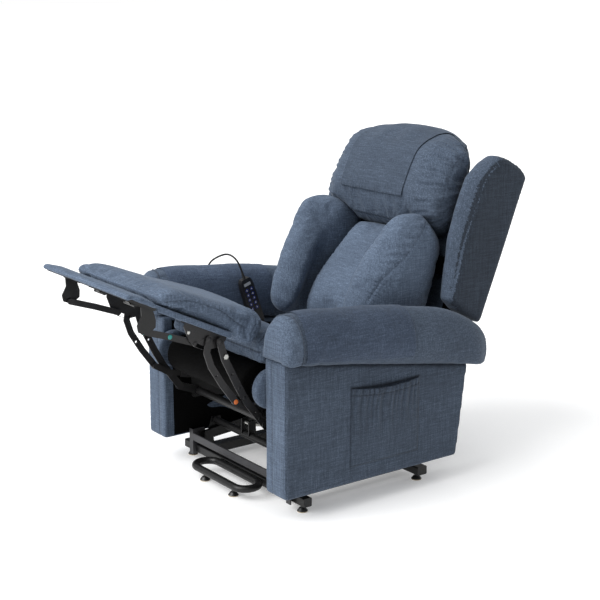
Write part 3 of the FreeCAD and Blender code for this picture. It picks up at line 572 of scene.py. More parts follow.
for nm, m in (("base_side_rails", STEEL_K), ("base_cross_tubes", STEEL_K), ("front_loop_tube", STEEL_K), ("base_pivot_brackets", STEEL_F),
              ("floor_glides", GLIDE), ("lift_frame", STEEL_K), ("lift_links", STEEL_K), ("lift_motor_housing", PLAST_K), ("lift_motor_rod", STEEL_B),
              ("chassis_side_plates", STEEL_K), ("chassis_cross_tubes", STEEL_K), ("chassis_bolts", STEEL_B), ("link_hanger_plates", STEEL_L),
              ("seat_springs", STEEL_B), ("arm_timber_frames", WOOD), ("arm_linings", F_BLACK), ("control_box", PLAST_K),
              ("handset_case", PLAST_K), ("torque_tube", STEEL_K), ("link_bars_a", STEEL_L), ("link_bars_b", STEEL_L), ("link_bars_c", STEEL_L),
              ("legrest_brackets", STEEL_L), ("footrest_links", STEEL_L), ("footrest_board", STEEL_K), ("back_frame", F_BLACK),
              ("recline_motor_housing", PLAST_K), ("recline_motor_rod", STEEL_B)):
    paint(nm, m)
for r in "abcde":
    for c in ("front", "rear"):
        paint("button_%s_%s" % (r, c), KEY)

# ------------------------------------------------------------------ handset lead
HX0, HX1 = -287.5, -267.0
HA, HB = (310.8, 590.0), (370.8, 414.0)
HL = hypot(HB[0] - HA[0], HB[1] - HA[1])
HD = ((HB[0] - HA[0]) / HL, (HB[1] - HA[1]) / HL)
HN = (-HD[1], HD[0])

def hp(s, t):
    return (HA[0] + HD[0] * s + HN[0] * t, HA[1] + HD[1] * s + HN[1] * t)

HXM = (HX0 + HX1) / 2.0
ROUTE = [(HXM,) + hp(-22, 0), (HXM,) + hp(-50, 0), (-292.0, 285.0, 662.0), (-322.0, 276.0, 672.0), (-372.0, 273.0, 656.0),
         (-426.0, 268.0, 626.0), (-458.0, 270.0, 572.0), (-462.0, 286.0, 490.0), (-455.0, 312.0, 400.0), (-449.0, 344.0, 318.0),
         (-447.0, 378.0, 240.0), (-441.0, 424.0, 162.0), (-428.0, 462.0, 92.0), (-384.0, 492.0, 66.0), (-322.0, 516.0, 64.0),
         (-262.0, 534.0, 67.0), (-232.0, 544.0, 98.0), (-230.3, 548.0, 138.0)]
cu = bpy.data.curves.new("handset_lead", "CURVE")
cu.dimensions = "3D"
sp = cu.splines.new("NURBS")
sp.points.add(len(ROUTE) - 1)
for p, r in zip(sp.points, ROUTE):
    p.co = tuple(P(*r)) + (1.0,)
sp.order_u = 3
sp.use_endpoint_u = True
sp.resolution_u = 14
cu.bevel_depth = 0.00325
cu.bevel_resolution = 5
cu.use_fill_caps = True
cu.materials.append(RUBBER)
lead = link(bpy.data.objects.new("handset_lead", cu))
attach(lead, "chair")
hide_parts("handset_cable")

def lathe(name, a, d, prof, mat, seg=24):
    """turned piece: prof is (distance along d, radius)"""
    a, d = Vector(a), Vector(d).normalized()
    s = d.cross(Vector((0.31, 0.17, 0.94)))
    s.normalize()
    w = d.cross(s)
    verts, faces = [], []
    for t, r in prof:
        for k in range(seg):
            an = 2 * pi * k / seg
            verts.append(a + d * t + s * (r * cos(an)) + w * (r * sin(an)))
    for i in range(len(prof) - 1):
        for k in range(seg):
            faces.append((i * seg + k, i * seg + (k + 1) % seg, (i + 1) * seg + (k + 1) % seg, (i + 1) * seg + k))
    faces.append(tuple(reversed(range(seg))))
    faces.append(tuple(range((len(prof) - 1) * seg, len(prof) * seg)))
    return new_obj(name, verts, faces, mat)

# ribbed strain relief and plug
prof = [(0.0, 0.0056)]
for i in range(7):
    t = 0.0012 + i * 0.0029
    r = 0.0056 - 0.0018 * (t / 0.022)
    prof += [(t, r), (t + 0.0017, r - 0.0001), (t + 0.0019, r - 0.0009), (t + 0.0027, r - 0.0010)]
prof += [(0.0215, 0.0041), (0.022, 0.0036)]
gland = lathe("lead_strain_relief", P(HXM, *hp(0, 0)), Vector((0, -HD[0], -HD[1])), prof, RUBBER)
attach(gland, "chair")
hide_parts("handset_cable_gland")
pa, pb = P(*ROUTE[-1]), P(*ROUTE[-2])
pd = (pa - pb).normalized()
plug = lathe("lead_plug", pa - pd * 0.001, pd, [(0, 0.0036), (0.002, 0.0048), (0.006, 0.0050), (0.0065, 0.0045), (0.0085, 0.0045), (0.009, 0.0053), (0.0125, 0.0055), (0.013, 0.0049), (0.015, 0.0049), (0.0155, 0.0060), (0.0222, 0.0063), (0.0226, 0.0058)], PLAST_K)
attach(plug, "chair")
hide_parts("cable_plug")

def part_of(o, body, nodes=()):
    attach(o, body)
    if nodes:
        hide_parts(*nodes)
    return o

def box_prism(name, pts, x0, x1, mat):
    n = len(pts)
    verts = [P(x0, *p) for p in pts] + [P(x1, *p) for p in pts]
    faces = [tuple(range(n)), tuple(reversed(range(n, 2 * n)))]
    for i in range(n):
        j = (i + 1) % n
        faces.append((i, i + n, j + n, j))
    o = new_obj(name, verts, faces, mat)
    bm = bmesh.new()
    bm.from_mesh(o.data)
    bmesh.ops.recalc_face_normals(bm, faces=bm.faces)
    bm.to_mesh(o.data)
    bm.free()
    return o

def zb(y):
    y = min(max(y, -40.0), 830.0)
    tab = ((-40, 510), (0, 503), (714, 384), (830, 364))
    for (a, b), (c, d) in zip(tab[:-1], tab[1:]):
        if y <= c:
            return b + (d - b) * (y - a) / (c - a)
    return 364.0

ZTOP = [(-26, 596), (-14, 622), (13, 642), (83, 646), (229, 634), (336, 626), (421, 615), (542, 591), (626, 569), (690, 541), (745, 508), (768, 488), (786, 468), (799, 448)]

def interp(tab, y):
    if y <= tab[0][0]:
        return tab[0][1]
    for (a, b), (c, d) in zip(tab[:-1], tab[1:]):
        if y <= c:
            return b + (d - b) * (y - a) / (c - a)
    return tab[-1][1]

def pad_ring(y0, y1=None, inset=0.0, off=0.0):
    """the arm roll's section line, from the inner lower edge over the top to the outer lower edge, at y0 on the inner side and y1 on the outer"""
    y1 = y0 if y1 is None else y1
    out = []
    for i in range(10):
        xn = (291, 297, 308, 334, 362, 398, 425, 442, 444, 431)[i]
        y = y0 + (y1 - y0) * min(1.0, max(0.0, (xn - 291) / 151.0))
        k = interp([(0, 0), (100, 8), (243, 14), (397, 20), (558, 18), (664, 8), (720, 4), (760, 0)], y)
        zt, b = interp(ZTOP, y), zb(y) + 0.4
        h = zt - b
        z = (b, b + .30 * h, b + .68 * h, b + .94 * h, zt, b + .965 * h, b + .76 * h, b + .46 * h, b + .20 * h + .8 * k, b - 7 + k)[i]
        q = 1.0 - inset / 75.0
        out.append(P(370 + (xn - 370) * q, y, z))
    return out

# ------------------------------------------------------------------ arms
panel_pts = [(0, 83), (675, 83), (714, 379), (714, zb(714)), (0, zb(0))]
panel = box_prism("arm_panel_left", [(1, 84), (674, 84), (713, 379), (713, zb(714) - 1), (1, zb(0) - 1)], 291, 393, F_ARM)
panel = mod(panel, "REMESH", mode="VOXEL", voxel_size=0.0075)
panel = relax(panel, 5, 0.5)
m = panel.modifiers.new("sub", "SUBSURF")
m.levels = m.render_levels = 1
panel = applied(panel)

def panel_shape(q, n):
    side = np.clip(np.abs(n[:, 0]), 0, 1)
    front = np.clip(-n[:, 1], 0, 1)
    edge = np.minimum(np.minimum(q[:, 2] - 83, 520 - q[:, 2]), np.minimum(q[:, 1], 700 - q[:, 1]))
    belly = np.clip(edge / 90.0, 0, 1) ** 0.7
    w = noise(q / 1000.0, 5.0, 3) * 1.4 + noise(q / 1000.0, 14.0, 4) * 0.5
    hang = np.exp(-((zb_np(q[:, 1]) - q[:, 2]) / 40.0) ** 2) * np.sin(q[:, 1] / 11.0 + 2.0 * noise(q / 1000.0, 7.0, 8)) * 0.5
    return 0.9 + side * (1.2 * belly + w * 0.7 + hang) + front * (0.8 + 0.5 * w)

def zb_np(y):
    return np.interp(y, [-40, 0, 714, 830], [510, 503, 384, 364])

bump_rows(panel, panel_shape)
seam_and_painted_shade(panel, [P(394, 0, 84), P(394, 0, 500)], 0.0022, 0.005, 0.0021, 0.0004, 0.02)
seam_and_painted_shade(panel, [P(325, -1, 84), P(325, -1, 500)], 0.0016, 0.005, 0.0019, 0.0003, 0.02)
seam_and_painted_shade(panel, [P(394, 675, 84), P(394, 714, 380)], 0.0016, 0.005, 0.0018, 0.0003, 0.02)
# painted shade: the outer side faces of the arm panel get a darker copy of the fabric
shade_copy_faces(panel, F_SIDE_SHADE, lambda c, n: (c[:, 0] > 391) & (n[:, 0] > 0.5))
# painted shadow: a dark band on the panel just above the pocket hem, where the pocket mouth opens
seam_and_painted_shade(panel, [P(394, y, 386 - 8 * (y - 235) / 269.0 - 8.5 * sin(pi * (y - 235) / 269.0) + 2.5) for y in range(239, 504, 12)], 0.0, 0.004, 0.0042, 0.0, 0.02, 0.02, 1.0)
# painted shadow: a dark band on the panel just under the arm roll
seam_and_painted_shade(panel, [P(394, y, zb(y) - 3) for y in range(8, 700, 14)], 0.0, 0.004, 0.0075, 0.0, 0.02, 0.03, 0.8)
panel_r = mirrored(panel, "arm_panel_right")
part_of(panel, "chair", ["left_arm_panel"])
part_of(panel_r, "chair", ["right_arm_panel"])

pad = from_node("arm_roll_left", "arm_pads", F_ARM, 1)
ring = smooth_line(pad_ring(6, 34), False, 6)
pad = soft(pad, 0.0065, 0.003, 3.0, 0.007, 12, pins=[ring], pin_r=0.01, grow=-0.02)

def roll_shape(q, n):
    y, x = q[:, 1], q[:, 0]
    w = noise(q / 1000.0, 6.0, 11) * 1.6 + noise(q / 1000.0 * np.array([1, 0.5, 1]), 18.0, 12) * 0.7
    low = np.clip((zb_np(y) + 70 - q[:, 2]) / 70.0, 0, 1) * np.clip((x - 390) / 30.0, 0, 1)
    tucks = low * np.sin(y / 9.5 + 3.0 * noise(q / 1000.0, 9.0, 14)) * 0.9
    rear = np.clip((y - 700) / 80.0, 0, 1) * np.sin(np.arctan2(q[:, 2] - 430, x - 368) * 16 + 2 * noise(q / 1000.0, 8.0, 3)) * 1.0
    return w + tucks + rear
bump_rows(pad, roll_shape)
ring_s = seam_and_painted_shade(pad, ring, 0.0012, 0.006, 0.0016, 0.0008, 0.017, 0.022, 0.5)
# painted shade: the roll's faces behind its front ring get a darker copy of the fabric
shade_copy_faces(pad, F_ROLL_SHADE, lambda c, n: (c[:, 1] - 6 > 28 * np.clip((c[:, 0] - 291) / 151.0, 0, 1)))
pad_r = mirrored(pad, "arm_roll_right")
# painted light: the far roll takes the lighter arm fabric in place of the darker copy
pad_r.data.materials[1] = F_ARM
part_of(pad, "chair", ["arm_pads"])
part_of(pad_r, "chair")
welt_pts = [p + Vector((0, -0.0004, 0)) for p in ring_s[::2]]
tube("arm_welt_left", welt_pts, 0.0021, F_WELT, "chair")
tube("arm_welt_right", [Vector((-p.x, p.y, p.z)) for p in welt_pts], 0.0021, F_WELT, "chair")

def cut_sheet(name, src, planes, mat, lift=0.0018, thick=0.0012, keep=None, wrinkle=None, body="chair"):
    """a cloth cover lying on another piece: its faces inside the planes, moved out and given thickness"""
    bm = bmesh.new()
    bm.from_mesh(src.data)
    for co, no, side in planes:
        if side is None:
            bmesh.ops.bisect_plane(bm, geom=bm.verts[:] + bm.edges[:] + bm.faces[:], plane_co=co, plane_no=no, clear_outer=True)
        else:
            g = [f for f in bm.faces if side(f.calc_center_median())]
            vs = {v for f in g for v in f.verts}
            es = {e for f in g for e in f.edges}
            bmesh.ops.bisect_plane(bm, geom=list(vs) + list(es) + g, plane_co=co, plane_no=no)
            bad = [f for f in bm.faces if side(f.calc_center_median()) and (f.calc_center_median() - co).dot(no) > 1e-6]
            bmesh.ops.delete(bm, geom=bad, context="FACES")
    if keep:
        bad = [f for f in bm.faces if not keep(f.calc_center_median(), f.normal)]
        bmesh.ops.delete(bm, geom=bad, context="FACES")
    bmesh.ops.delete(bm, geom=[v for v in bm.verts if not v.link_faces], context="VERTS")
    # the largest connected patch only
    seen, best = set(), []
    for f0 in bm.faces:
        if f0 in seen:
            continue
        stack, comp = [f0], []
        seen.add(f0)
        while stack:
            f = stack.pop()
            comp.append(f)
            for e in f.edges:
                for g2 in e.link_faces:
                    if g2 not in seen:
                        seen.add(g2)
                        stack.append(g2)
        if len(comp) > len(best):
            best = comp
    keepers = set(best)
    bmesh.ops.delete(bm, geom=[f for f in bm.faces if f not in keepers], context="FACES")
    bmesh.ops.delete(bm, geom=[v for v in bm.verts if not v.link_faces], context="VERTS")
    me = bpy.data.meshes.new(name)
    bm.to_mesh(me)
    area = sum(f.calc_area() for f in bm.faces)
    bm.free()
    me.materials.clear()
    me.materials.append(mat)
    o = link(bpy.data.objects.new(name, me))
    co, no = coords(o), normals(o)
    up = np.full(len(co), lift)
    if wrinkle is not None:
        up = up + wrinkle(co)
    set_coords(o, co + no * up[:, None])
    a = o.data.attributes.get("seam_and_painted_shade")
    if a is not None:
        a.data.foreach_set("value", np.zeros(len(co)))
    s = o.modifiers.new("solid", "SOLIDIFY")
    s.thickness = thick
    s.offset = 1.0
    o = applied(o)
    print("sheet %s area %.4f m2" % (name, area))
    return o, area

def to_mm(co):
    q = co * 1000.0
    q[:, 1] -= YS * 1000.0
    return q

def cap_wrinkle(co):
    q = to_mm(co.copy())
    end = np.exp(-((446 - q[:, 1]) / 50.0) ** 2)
    outer = np.clip((q[:, 0] - 380) / 50.0, 0, 1)
    w = 0.5 * noise(q / 1000.0, 12.0, 21) + 0.5 * noise(q / 1000.0, 26.0, 22)
    folds = outer * np.maximum(0, np.sin(q[:, 1] / 13.0 + 2.5 * noise(q / 1000.0, 6.0, 23))) * 1.6
    edge = np.clip((446 - q[:, 1]) / 14.0, 0, 1) * np.clip((q[:, 1] - 46) / 14.0, 0, 1)
    return (0.9 * (1 + w) * edge + folds * (0.4 + 0.6 * end) * edge + 0.6 * (1 - edge)) / 1000.0

def cap_keep(c, n):
    z = c.z * 1000.0
    y = (c.y - YS) * 1000.0
    x = c.x * 1000.0
    return z > zb(y) + (20 if x < 362 else 10 + 0.045 * y)

cap, cap_area = cut_sheet("arm_cover_left", pad, [(P(0, 446, 0), Vector((0, 1, 0)), None), (P(0, 43, 0), Vector((0, -1, 0)), None)], F_CAP, 0.0012, 0.0011, keep=cap_keep, wrinkle=cap_wrinkle)
cap_r = mirrored(cap, "arm_cover_right")
# painted light: the far arm cover gets a lighter copy of the cover fabric
cap_r.data.materials[0] = F_CAP_LIT
for o in (cap, cap_r):
    part_of(o, "chair", ["arm_caps"] if o is cap else ())

# side pocket: one gathered cloth with an elastic hem
def pocket():
    nu, nv = 110, 84
    verts, stitch_and_shade = [], []
    for j in range(nv + 1):
        v = j / nv
        for i in range(nu + 1):
            u = i / nu
            y0, y1 = 235 + 2 * v, 504 + 2 * v
            y = y0 + (y1 - y0) * u
            top = 379 + 7 * (1 - u) - 9.0 * sin(pi * u) * 0.9
            top = 386 - 8 * u - 8.5 * sin(pi * u)
            z = 139 + (top - 139) * v
            edge = min(u, 1 - u)
            rise = min(1.0, edge / 0.045) ** 0.6
            bottom = min(1.0, v / 0.05) ** 0.6
            belly = sin(pi * min(1.0, max(0.0, u))) ** 0.7
            x = 395.2 + rise * bottom * (1.6 + 13.0 * belly * (0.22 + 0.78 * v ** 1.8))
            # gathers hang from the hem and fade out
            g = max(0.0, v - 0.25) / 0.75
            ph = 2 * pi * u * 13 + 1.4 * sin(2 * pi * u * 3.1 + 0.6) + 0.8 * sin(11 * v)
            x += rise * bottom * (g ** 1.4) * 2.0 * sin(ph)
            big = exp(-((u - 0.34 - 0.05 * (1 - v)) / 0.035) ** 2) + 0.8 * exp(-((u - 0.55 + 0.03 * (1 - v)) / 0.03) ** 2) + 0.7 * exp(-((u - 0.77) / 0.028) ** 2)
            x += rise * bottom * big * 6.0 * max(0.0, v - 0.22)
            hem = max(0.0, (v - 0.925) / 0.075)
            if hem > 0:
                x += rise * 1.3 * sin(2 * pi * u * 30 + 1.3 * sin(40 * u)) * (0.4 + 0.6 * sin(pi * min(1, hem)))
                x += rise * 1.4 * sin(pi * min(1.0, hem * 1.1))
            verts.append(P(x, y, z))
            # dark stitch lines at the hem, sides and bottom, and painted shade in the fold valleys
            s = exp(-((v - 0.915) * 245 / 2.2) ** 2)
            s = max(s, 0.55 * (g ** 0.8) * max(0.0, -sin(ph)), 0.60 * max(0.0, v - 0.2) * (exp(-((u - 0.395 - 0.05 * (1 - v)) / 0.022) ** 2) + exp(-((u - 0.60 + 0.03 * (1 - v)) / 0.02) ** 2) + exp(-((u - 0.82) / 0.02) ** 2)))
            s = max(0.9 * s, 0.7 * exp(-((edge * 270 - 1.5) / 2.4) ** 2), 0.7 * exp(-((v * 245 - 2.0) / 2.4) ** 2))
            stitch_and_shade.append(s)
    faces = []
    for j in range(nv):
        for i in range(nu):
            a = j * (nu + 1) + i
            faces.append((a, a + 1, a + nu + 2, a + nu + 1))
    o = new_obj("side_pocket_cloth", verts, faces, F_POCKET_SHADE)
    seam_and_shade_attr(o).data.foreach_set("value", stitch_and_shade)
    area = sum(p.area for p in o.data.polygons)
    s = o.modifiers.new("solid", "SOLIDIFY")
    s.thickness, s.offset = 0.0011, 1.0
    o = applied(o)
    return o, area
# painted shade: a darker copy of the blue fabric for the side pocket
F_POCKET_SHADE = woven("fabric_pocket_painted_shade", *shade(0.42, BLUE_D, BLUE_M, BLUE_L))
pk, pk_area = pocket()
part_of(pk, "chair", ["side_pocket"])

# ------------------------------------------------------------------ front rail
def roll(name, c, r, x0, x1, mat, crown, rows, amp, seed):
    seg = 96
    verts, faces = [], []
    for i in range(rows + 1):
        t = i / rows
        x = x0 + (x1 - x0) * t
        e = min(t, 1 - t) * abs(x1 - x0)
        rr = r - crown * (1 - min(1.0, e / crown)) ** 2 if e < crown else r
        for k in range(seg):
            a = 2 * pi * k / seg
            verts.append(P(x, c[0] + rr * cos(a), c[1] + rr * sin(a)))
    for i in range(rows):
        for k in range(seg):
            a, b = i * seg + k, i * seg + (k + 1) % seg
            faces.append((a, a + seg, b + seg, b))
    faces.append(tuple(range(seg)))
    faces.append(tuple(reversed(range(rows * seg, (rows + 1) * seg))))
    o = new_obj(name, verts, faces, mat)
    bm = bmesh.new()
    bm.from_mesh(o.data)
    bmesh.ops.recalc_face_normals(bm, faces=bm.faces)
    bm.to_mesh(o.data)
    bm.free()
    bump_rows(o, lambda q, n: amp * noise(q / 1000.0 * np.array([0.5, 1, 1]), 12.0, seed) - 0.3)
    return o
rail = roll("front_rail_roll", (30, 396), 61, -215, 215, F_BLACK, 6, 90, 1.1, 31)
part_of(rail, "chair", [])
paint("front_rail", F_BLACK)
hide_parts("front_rail")
block = box_prism("front_rail_block", [(72, 347), (106, 347), (106, 378), (72, 378)], -214, 214, F_BLACK)
bmod = block.modifiers.new("b", "BEVEL")
bmod.width, bmod.segments = 0.002, 2
block = applied(block)
part_of(block, "chair")
for sx in (1, -1):
    e = roll("rail_end_" + ("left" if sx > 0 else "right"), (30, 396), 61, 259.5 * sx, 289 * sx, F_ARM, 9, 14, 0.9, 32)
    part_of(e, "chair", ["front_rail_ends"] if sx > 0 else ())

# ------------------------------------------------------------------ seat cushion
seat = from_node("seat_pad", "seat_cushion", F_ARM)
seat_seams = [[P(x, 12, 540), P(x, 50, 565), P(x, 90, 560), P(x, 150, 523), P(x, 230, 479), P(x, 300, 450), P(x, 370, 431), P(x, 440, 412)] for x in (-246, 246)]
seat_front = [P(-250, 9, 500), P(-120, 8, 500), P(0, 8, 500), P(120, 8, 500), P(250, 9, 500)]
seat = soft(seat, 0.008, 0.005, 4.0, 0.012, 14, pins=seat_seams + [seat_front], pin_r=0.010)
for s_ in seat_seams:
    seam_and_painted_shade(seat, s_, 0.003, 0.008, 0.0024, 0.0014, 0.018)
seam_and_painted_shade(seat, seat_front, 0.003, 0.008, 0.0024, 0.0014, 0.018)
creases(seat, 0.0012, 9.0, 41)
part_of(seat, "chair", ["seat_cushion"])

# ------------------------------------------------------------------ leg rest and footrest
legp = from_node("legrest_upholstery", "legrest_pad", F_LEG_LIT)
side_l = [smooth_line([PL(x, s, h) for s, h in ((-222, 30), (-200, 40), (-150, 60), (-112, 68), (-80, 71), (-48, 69), (-17, 62), (12, 53), (40, 46), (70, 44))], False, 4) for x in (-262, 262)]
front_l = [PL(x, -236, 34) for x in range(-250, 251, 50)]
legp = soft(legp, 0.006, 0.004, 5.5, 0.014, 16, pins=side_l + [front_l], pin_r=0.007, grow=-0.04)

def leg_shape(q, n):
    dy, dz = q[:, 0] * 0 + (q[:, 1] + 122.0), q[:, 2] - 576.0
    s = dy * LEG_D[0] + dz * LEG_D[1]
    h = dy * LEG_U[0] + dz * LEG_U[1]
    x = q[:, 0]
    top = np.clip((h - 30) / 20.0, 0, 1) * np.clip(0.25 + n[:, 1] * LEG_U[0] + n[:, 2] * LEG_U[1], 0, 1)
    A = np.interp(s, [-240, -194, -120, -46, 35, 85, 108, 124, 134], [0, 2.0, 5.0, 9.0, 15.0, 21.0, 21.0, 15.0, 5.0])
    crown = A * (0.50 + 0.50 * np.cos(np.clip(x / 256.0, -1, 1) * pi / 2)) * top
    # gathers fan out at both rear corners
    g = 0
    for sx in (-1, 1):
        cx, cs = 268.0 * sx, 118.0
        rr = np.hypot(x - cx, s - cs)
        an = np.arctan2(x - cx, s - cs)
        g = g + np.exp(-((rr - 46) / 32.0) ** 2) * np.sin(an * 27 + 1.6 * noise(q / 1000.0, 9.0, 51)) * 2.4
    endg = np.exp(-((s - 112) / 26.0) ** 2) * np.sin(x / 6.5 + 2.4 * noise(q / 1000.0, 11.0, 52)) * 1.3
    under = np.clip(-(n[:, 1] * LEG_U[0] + n[:, 2] * LEG_U[1]), 0, 1) * np.clip((np.abs(x) - 190) / 50.0, 0, 1) * np.clip(1 - ((s + 85) / 112.0) ** 2, 0, 1)
    g = g - 9.0 * under
    g = g - 7.0 * np.clip((np.abs(x) - 238) / 12.0, 0, 1) * np.exp(-((h - 24) / 9.0) ** 2) * np.clip(1 - ((s + 85) / 115.0) ** 2, 0, 1)
    fr = np.exp(-((s + 228) / 16.0) ** 2) * np.sin(x / 8.5 + 2.4 * noise(q / 1000.0, 11.0, 55)) * 0.6
    edge = np.exp(-((np.abs(x) - 250) / 18.0) ** 2) * np.sin(s / 8.0 + 2.4 * noise(q / 1000.0, 11.0, 53)) * 0.6
    return crown + g + endg + edge + fr + 1.2 * noise(q / 1000.0, 8.0, 54)
bump_rows(legp, leg_shape)
for s_ in side_l:
    seam_and_painted_shade(legp, s_, 0.0030, 0.006, 0.0020, 0.0024, 0.013, 0.026, 0.9)
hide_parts("legrest_pad")
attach(legp, "legrest")
footp = from_node("footrest_upholstery", "footrest_pad", F_LEG_LIT)
footp = mod(footp, "REMESH", mode="VOXEL", voxel_size=0.0045)
footp = relax(footp, 4, 0.5)
m = footp.modifiers.new("sub", "SUBSURF")
m.levels = m.render_levels = 1
footp = applied(footp)

def foot_shape(q, n):
    dy, dz = q[:, 1] + 122.0, q[:, 2] - 576.0
    s = dy * LEG_D[0] + dz * LEG_D[1]
    up = np.clip(n[:, 1] * LEG_U[0] + n[:, 2] * LEG_U[1], 0, 1)
    mid = np.cos(np.clip((s + 292) / 56.0, -1, 1) * pi / 2) * np.clip((256 - np.abs(q[:, 0])) / 30.0, 0, 1)
    return 0.6 + up * (4.0 * mid + 0.8 * noise(q / 1000.0, 9.0, 61)) + 0.5 * np.exp(-((np.abs(q[:, 0]) - 250) / 12.0) ** 2) * np.sin(s / 7.0)
bump_rows(footp, foot_shape)
seam_and_painted_shade(footp, [PL(x, -340, 4) for x in range(-250, 251, 50)], 0.0012, 0.004, 0.0019, 0.0004, 0.02)
part_of(footp, "footrest", ["footrest_pad"])
# upholstered edge of the leg board
board = box_prism("legrest_board_covered", [lg(-230.5, 0.3), lg(35.5, 0.3), lg(35.5, 17.7), lg(-230.5, 17.7)], -249.5, 249.5, F_LEG_LIT)
bmod = board.modifiers.new("b", "BEVEL")
bmod.width, bmod.segments = 0.004, 3
board = applied(board)
board.data.polygons.foreach_set("use_smooth", [False] * len(board.data.polygons))
part_of(board, "legrest", ["legrest_board"])

# ------------------------------------------------------------------ back
def uv_warp(o, fn):
    """moves the mesh by fn(x, u, v) in the back's own frame, mm"""
    co = coords(o) * 1000.0
    y, z = co[:, 1] - YS * 1000.0 - 787.6, co[:, 2] - 494.0
    x, u, v = fn(co[:, 0], y * BK_D[0] + z * BK_D[1], y * BK_N[0] + z * BK_N[1])
    set_coords(o, np.stack([x, 787.6 + u * BK_D[0] + v * BK_N[0] + YS * 1000.0, 494.0 + u * BK_D[1] + v * BK_N[1]], 1) / 1000.0)

wing = from_node("wing_left", "back_wings", F_WING_SHADE, 1)
wing = mod(wing, "REMESH", mode="VOXEL", voxel_size=0.0065)
wing = relax(wing, 12, 0.5)

def wing_fill(x, u, v):
    """the stuffed front edge lies further back than its board, and slopes inwards"""
    d = np.interp(u, [0, 40, 105, 221, 342, 426, 480, 519], [4, 6, 24, 36, 35, 32, 20, 0]) * np.clip((x - 312) / 44.0, 0, 1) ** 1.2 + np.interp(u, [0, 34, 154, 303, 400], [8, 8, 15, 4, 0])
    d = d + np.clip((322 - x) / 44.0, 0, 1) * np.interp(u, [0, 105, 221, 342, 426, 503], [40, 36, 32, 30, 30, 14])
    return x, u, v - np.clip((v - 60) / 95.0, 0, 1) * d - 13 * np.clip((50 - v) / 50.0, 0, 1) * np.clip((x - 290) / 40.0, 0, 1)
m = wing.modifiers.new("sub", "SUBSURF")
m.levels = m.render_levels = 1
wing = applied(wing)
WF = [(647, 591), (655, 690), (672, 782), (708, 870), (754, 968), (808, 1004), (863, 1024), (905, 1012), (952, 985), (977, 953)]
def inset_line(pts, x, d):
    """the outline moved inwards by d, on the face at x"""
    cy, cz = 806.0, 760.0
    out = []
    for y, z in pts:
        L = hypot(cy - y, cz - z)
        out.append(P(x, y + (cy - y) / L * d, z + (cz - z) / L * d))
    return out
def wing_shape(q, n):
    u = (q[:, 1] - 787.6) * BK_D[0] + (q[:, 2] - 494.0) * BK_D[1]
    v = (q[:, 1] - 787.6) * BK_N[0] + (q[:, 2] - 494.0) * BK_N[1]
    front = np.clip(n[:, 1] * BK_N[0] + n[:, 2] * BK_N[1], 0, 1)
    outer = np.clip(n[:, 0], 0, 1)
    puff = front * 3.0 * np.cos(np.clip((q[:, 0] - 318) / 42.0, -1, 1) * pi / 2)
    rim = np.exp(-((v - 250) / 60.0) ** 2) * 0
    an = np.arctan2(q[:, 2] - 880, q[:, 1] - 850)
    fan = np.exp(-((u - 430) / 110.0) ** 2) * np.clip((q[:, 0] - 300) / 30, 0, 1) * np.sin(an * 46 + 1.5 * noise(q / 1000.0, 9.0, 71)) * 0.7 * np.clip(1.2 - outer, 0, 1)
    return 0.6 + puff + rim + fan + outer * 1.2 * noise(q / 1000.0, 5.0, 72) + 0.5 * noise(q / 1000.0, 14.0, 73)
uv_warp(wing, wing_fill)
bump_rows(wing, wing_shape)
wing_edge = smooth_line([PB(359, u, v - 8) for u, v in ((37, 165), (105, 168), (221, 181), (342, 181), (420, 178), (474, 158), (508, 126), (517, 87), (506, 30))], False, 6)
seam_and_painted_shade(wing, wing_edge, 0.0012, 0.006, 0.0018, 0.0006, 0.017, 0.024, 0.3)
seam_and_painted_shade(wing, [P(330, *bk(u, 1)) for u in (5, 100, 200, 300, 400, 480)], 0.001, 0.005, 0.0018, 0.0003, 0.02)
# painted light and shade: the wing's front faces take the lighter head copy, its sides keep the much darker wing copy
shade_copy_faces(wing, F_HEAD_SHADE, lambda c, n: (n[:, 1] * BK_N[0] + n[:, 2] * BK_N[1] > 0.30) & (n[:, 0] < 0.86))
wing_r = mirrored(wing, "wing_right")
part_of(wing, "back", ["back_wings"])
part_of(wing_r, "back")
rear = box_prism("back_rear_cover", [bk(-149, 4), bk(-149, 11.5), bk(433, 11.5), bk(433, 4)], -271, 271, F_BACK_LIT)
rear = mod(rear, "REMESH", mode="VOXEL", voxel_size=0.0035)
rear = relax(rear, 2, 0.4)
bump_rows(rear, lambda q, n: 0.4 + 0.5 * noise(q / 1000.0, 6.0, 74))
seam_and_painted_shade(rear, [PB(-258, -140, 3), PB(-258, 425, 3), PB(258, 425, 3), PB(258, -140, 3)], 0.0012, 0.004, 0.0022, 0.0003, 0.02)
part_of(rear, "back", ["back_rear_panel"])

head = from_node("head_pad", "head_cushion", F_HEAD_SHADE)
head = mod(head, "REMESH", mode="VOXEL", voxel_size=0.0065)

